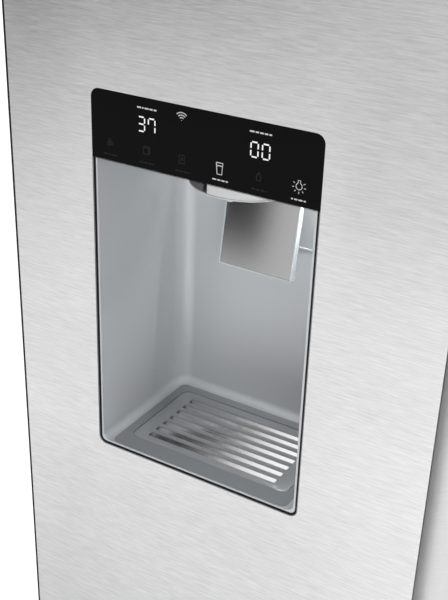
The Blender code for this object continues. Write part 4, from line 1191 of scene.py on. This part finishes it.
def build_ice_works():
    """The ice bucket with its auger, and the maker's tray fingers and feeler arm."""
    low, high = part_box("ice_bucket")
    tray("ice_bin", low, high, "ice_bucket", "ice_bucket", wall=0.0030, radius=0.016)
    middle = (low.x + high.x) / 2
    centre_z = low.z + 0.040
    helix = []
    turns = 6
    steps = 16
    reach = 0.027
    for i in range(turns * steps + 1):
        turn = 2 * math.pi * i / steps
        y = low.y + 0.030 + (high.y - low.y - 0.060) * i / (turns * steps)
        helix.append((middle + reach * math.cos(turn), y, centre_z + reach * math.sin(turn)))
    dress(pipe("auger", [helix], 0.0030), "silver", "ice_bucket")
    shaft = rod("auger_shaft", (middle, 0, centre_z), "Y", 0.0045, low.y + 0.010, high.y - 0.008)
    dress(shaft, "silver", "ice_bucket")
    maker_low, maker_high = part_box("ice_maker")
    fingers = []
    count = 9
    for i in range(count):
        x = maker_low.x + 0.030 + (maker_high.x - maker_low.x - 0.060) * i / (count - 1)
        fingers.append(((x - 0.004, maker_low.y - 0.010, maker_low.z + 0.050),
                        (x + 0.004, maker_low.y + 0.004, maker_low.z + 0.085)))
    soft_blocks("maker_fingers", fingers, 0.001, 2, "grey", "cabinet")
    left, right = maker_low.x + 0.012, maker_high.x - 0.012
    pivot = (maker_low.y - 0.004, maker_low.z + 0.090)
    hang = (maker_low.y - 0.012, maker_low.z - 0.008)
    arm = [(left, *pivot), (left, *hang), (right, *hang), (right, *pivot)]
    dress(pipe("feeler_arm", [arm], 0.0015, 0.012), "silver", "cabinet")


def build_fridge_fittings():
    """The crispers on their runners, the shelves, the duct's outlets, the lights and the filter."""
    runners = []
    for word in ("lower", "upper"):
        node = f"crisper_{word}"
        low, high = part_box(node)
        tray(f"{word}_crisper", low, high, node, node, grip=0.012)
        for x_low, x_high in ((low.x - 0.0275, low.x - 0.0012), (high.x + 0.0012, high.x + 0.0255)):
            runners.append(((x_low, low.y + 0.02, high.z - 0.018), (x_high, 0.095, high.z - 0.008)))
    heights = []
    for word in ("upper", "lower"):
        node = f"fridge_shelf_{word}"
        shelf(f"glass_shelf_{word}", *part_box(node), node)
        heights.append(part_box(node)[0].z)
    low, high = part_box("fridge_shelf_upper")
    for i, z in enumerate(FRIDGE_SHELVES):
        shelf(f"glass_shelf_extra_{i}", Vector((low.x, low.y, z)),
              Vector((high.x, high.y, z + SHELF_HEIGHT)))
    shelf_rails("fridge_rails", low, high, high.y - 0.005, (*heights, *FRIDGE_SHELVES))
    soft_blocks("crisper_runners", runners, 0.001, 2, "white", "cabinet")
    low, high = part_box("air_duct")
    for i, z in enumerate(DUCT_OUTLETS):
        vent(f"duct_outlet_{i}", (low.x + 0.010, low.y - 0.0016, z),
             (high.x - 0.010, low.y - 0.0002, z + 0.036), 3)
    soft_block("fridge_light", (0.060, -0.060, 1.6955), (0.260, -0.020, 1.6998),
               0.0015, 3, "lamp", "cabinet")
    for i, x in enumerate((-0.0138, 0.4008)):
        soft_block(f"fridge_side_light_{i}", (x, -0.150, 0.60), (x + 0.0030, -0.138, 1.60),
                   0.0008, 2, "lamp", "cabinet")
    filter_low, filter_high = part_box("water_filter")
    centre = (filter_low + filter_high) / 2
    radius = (filter_high.z - filter_low.z) / 2
    start, stop = filter_low.y, filter_high.y
    profile = [(0.002, start), (radius * 0.86, start), (radius * 0.97, start + 0.002),
               (radius, start + 0.005), (radius, start + 0.034), (radius * 0.90, start + 0.036),
               (radius * 0.90, stop - 0.03), (radius * 0.7, stop - 0.022),
               (radius * 0.45, stop - 0.018), (radius * 0.45, stop), (0.002, stop)]
    cartridge = turned("filter_cartridge", [(r, y - centre.y) for r, y in profile], centre, "Y", 40)
    dress(cartridge, "white", "water_filter", "water_filter")
    grip = radius * 0.72
    soft_block("filter_grip", (centre.x - grip, start - 0.0002, centre.z - 0.004),
               (centre.x + grip, start + 0.004, centre.z + 0.004), 0.0015, 3, "grey", "water_filter")


def build_door_storage():
    """The bins that hook on to each door's inner panel, and the dairy box."""
    wall = 0.0022
    for word, height, levels in (("freezer", 0.095, FREEZER_BINS), ("fridge", 0.120, FRIDGE_BINS)):
        node = f"{word}_door_bin"
        low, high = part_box(node)
        tray(f"{word}_bin_tub", low, high, f"{word}_bin", node, wall=wall)
        for i, z in enumerate(levels):
            tray(f"{word}_bin_{i}", Vector((low.x, low.y, z)), Vector((high.x, high.y, z + height)),
                 f"{word}_door", wall=wall)
    tray("butter_box", *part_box("dairy_box"), "fridge_door", "dairy_box", wall=wall)


# ---------------------------------------------------------------- machine room, back and base

def build_machine_room():
    """Both coils and fans, and what is fitted to the compressor."""
    finned_coil("condenser_coil", "condenser", 5, 4)
    finned_coil("evaporator_coil", "evaporator", 8, 2)
    fan_wheel("condenser_wheel", "condenser_fan", "X", "dark")
    fan_wheel("evaporator_wheel", "evaporator_fan", "Y", "white")
    low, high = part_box("compressor")
    middle = (low + high) / 2
    radius = (high.x - low.x) / 2
    seam_z = middle.z + 0.005
    seam = [(radius - 0.002, -0.003), (radius + 0.002, -0.003),
            (radius + 0.002, 0.003), (radius - 0.002, 0.003)]
    ring = turned("compressor_seam", seam + seam[:1], (middle.x, middle.y, seam_z), "Z", 48)
    dress(ring, "black_paint", "cabinet")
    soft_block("terminal_cover", (low.x - 0.016, middle.y - 0.028, middle.z - 0.020),
               (low.x + 0.012, middle.y + 0.028, middle.z + 0.036), 0.004, 3, "dark", "cabinet")
    suction = [(middle.x - 0.02, middle.y, high.z - 0.01), (middle.x - 0.02, middle.y, high.z + 0.018),
               (middle.x - 0.10, middle.y, high.z + 0.018),
               (middle.x - 0.10, middle.y - 0.05, high.z + 0.018),
               (0.17, 0.205, high.z + 0.018), (0.17, 0.205, 0.240)]
    discharge = [(middle.x + 0.03, middle.y + 0.02, high.z - 0.01),
                 (middle.x + 0.03, middle.y + 0.02, high.z + 0.008),
                 (middle.x + 0.03, 0.325, high.z + 0.008), (0.150, 0.325, high.z + 0.008),
                 (0.150, 0.325, 0.20), (0.128, 0.318, 0.20)]
    dress(pipe("refrigerant_pipes", [suction, discharge], 0.0032, 0.014), "black_paint", "cabinet")


def build_back():
    """Ribbed rear sheet, slotted machine cover, screws and the water inlet."""
    low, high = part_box("rear_panel")
    sheet = block("rear_sheet", low, (high.x, high.y - 0.0004, high.z))
    dress(sheet, "zinc", "cabinet", "rear_panel")
    ribs = []
    count = 9
    for i in range(count):
        z = low.z + 0.10 + (high.z - low.z - 0.20) * i / (count - 1)
        ribs.append(((low.x + 0.06, high.y - 0.0006, z - 0.006), (high.x - 0.06, high.y, z + 0.006)))
    soft_blocks("rear_ribs", ribs, 0.00018, 2, "zinc", "cabinet")
    edge = 0.012
    places = [(x, high.y - 0.0016, low.z + edge + (high.z - low.z - 2 * edge) * i / (count - 1))
              for x in (low.x + edge, high.x - edge) for i in range(count)]
    screws("rear_screws", places, "Y", 1)
    low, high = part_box("machine_cover")
    cover = block("rear_cover", low, (high.x, high.y - 0.0006, high.z))
    columns = [low.x + 0.10 + column * 0.032 for column in range(22)]
    outlines = [rounded((x - 0.004, z), (x + 0.004, z + 0.055), 0.0038, 4) for x in columns
                for z in (low.z + 0.045, low.z + 0.120)]
    cut(cover, prisms("cover_slots", outlines, "Y", low.y - 0.01, high.y + 0.01))
    dress(cover, "zinc", "cabinet", "machine_cover")
    places = [(x, high.y - 0.0016, z) for x in (low.x + edge, 0.0, high.x - edge)
              for z in (low.z + edge, high.z - edge)]
    screws("cover_back_screws", places, "Y", 1)
    inlet = [(0.007, 0.0), (0.009, 0.0), (0.009, 0.0015), (0.0075, 0.0015),
             (0.0075, 0.0085), (0.0045, 0.0085)]
    place = (low.x + 0.045, high.y, low.z + 0.19)
    dress(turned("water_inlet", [(r, -along) for r, along in inlet], place, "Y", 28), "silver", "cabinet")


def build_toe_grille():
    """A frame with five sloping louvres and upright ribs between them."""
    low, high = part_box("toe_grille")
    border = 0.006
    outline = rounded((low.x, low.z), (high.x, high.z), 0.006)
    inner = rounded((low.x + border * 2, low.z + border), (high.x - border * 2, high.z - border), 0.004)
    back = low.y + 0.012
    surround = rim("kick_frame", [(outline, back), (outline, low.y), (inner, low.y), (inner, back)])
    dress(soften(surround, 0.0008, 2), "paint", "cabinet")
    builder = bmesh.new()
    louvres = 5
    pitch = (high.z - low.z - 2 * border) / louvres
    for i in range(louvres):
        z = low.z + border + pitch * (i + 0.5)
        outline = [(low.y + 0.0015, z - 0.0028), (low.y + 0.0015, z - 0.0012),
                   (low.y + 0.011, z + 0.0032), (low.y + 0.011, z + 0.0016)]
        add_prism(builder, outline, "X", low.x + border, high.x - border)
    uprights = 9
    for i in range(uprights):
        x = low.x + (high.x - low.x) * (i + 1) / (uprights + 1)
        add_block(builder, (x - 0.0012, low.y + 0.003, low.z + border - 0.001),
                  (x + 0.0012, low.y + 0.0115, high.z - border + 0.001))
    dress(from_builder("kick_louvres", builder), "paint", "cabinet", "toe_grille", angle=20)
    soft_block("front_sill", (-0.450, -0.2666, 0.048), (0.450, -0.2642, 0.1085),
               0.0005, 2, "paint", "cabinet")
    arms = [((x - 0.008, low.y + 0.0115, high.z - 0.016), (x + 0.008, high.y, high.z - 0.004))
            for x in (low.x + 0.05, 0.0, high.x - 0.05)]
    soft_blocks("kick_arms", arms, 0.0008, 2, "paint", "cabinet")


def build_hinge_covers():
    """Hollow caps over the top hinges, each held by a screw."""
    for side in ("left", "right"):
        low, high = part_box(f"hinge_cover_{side}")
        cap = eased(block(f"hinge_cap_{side}", low, high), 0.006, 4)
        wall = 0.002
        room_low = (low.x + wall, low.y + wall, low.z - 0.01)
        room_high = (high.x - wall, high.y - wall, high.z - 0.0022)
        cut(cap, block(f"hinge_cap_{side}_room", room_low, room_high))
        dress(cap, "dark", "cabinet", f"hinge_cover_{side}")
        place = ((low.x + high.x) / 2, high.y - 0.045, high.z - 0.0016)
        screws(f"hinge_cap_screw_{side}", [place], "Z", 1, 0.0045)


build_freezer_fittings()
build_ice_works()
build_fridge_fittings()
build_door_storage()
build_machine_room()
build_back()
build_toe_grille()
build_hinge_covers()

KEPT = {
    "paint": ("cabinet_shell", "front_frame"),
    "foam": ("cabinet_foam", "freezer_door_core", "fridge_door_core"),
    "zinc": ("base_pan", "top_hinge_left", "top_hinge_right", "bottom_hinge_left", "bottom_hinge_right"),
    "white": ("freezer_liner", "fridge_liner", "evaporator_cover", "air_duct", "ice_maker",
              "filter_housing", "freezer_door_liner", "ice_chute", "fridge_door_liner"),
    "black_paint": ("compressor",),
    "dark": ("front_foot_left", "front_foot_right", "rear_roller_left", "rear_roller_right", "ice_flap"),
    "rubber": ("freezer_door_gasket", "fridge_door_gasket"),
    "clear": ("dairy_lid",),
}
for finish, kept in KEPT.items():
    for node in kept:
        keep(node, finish)
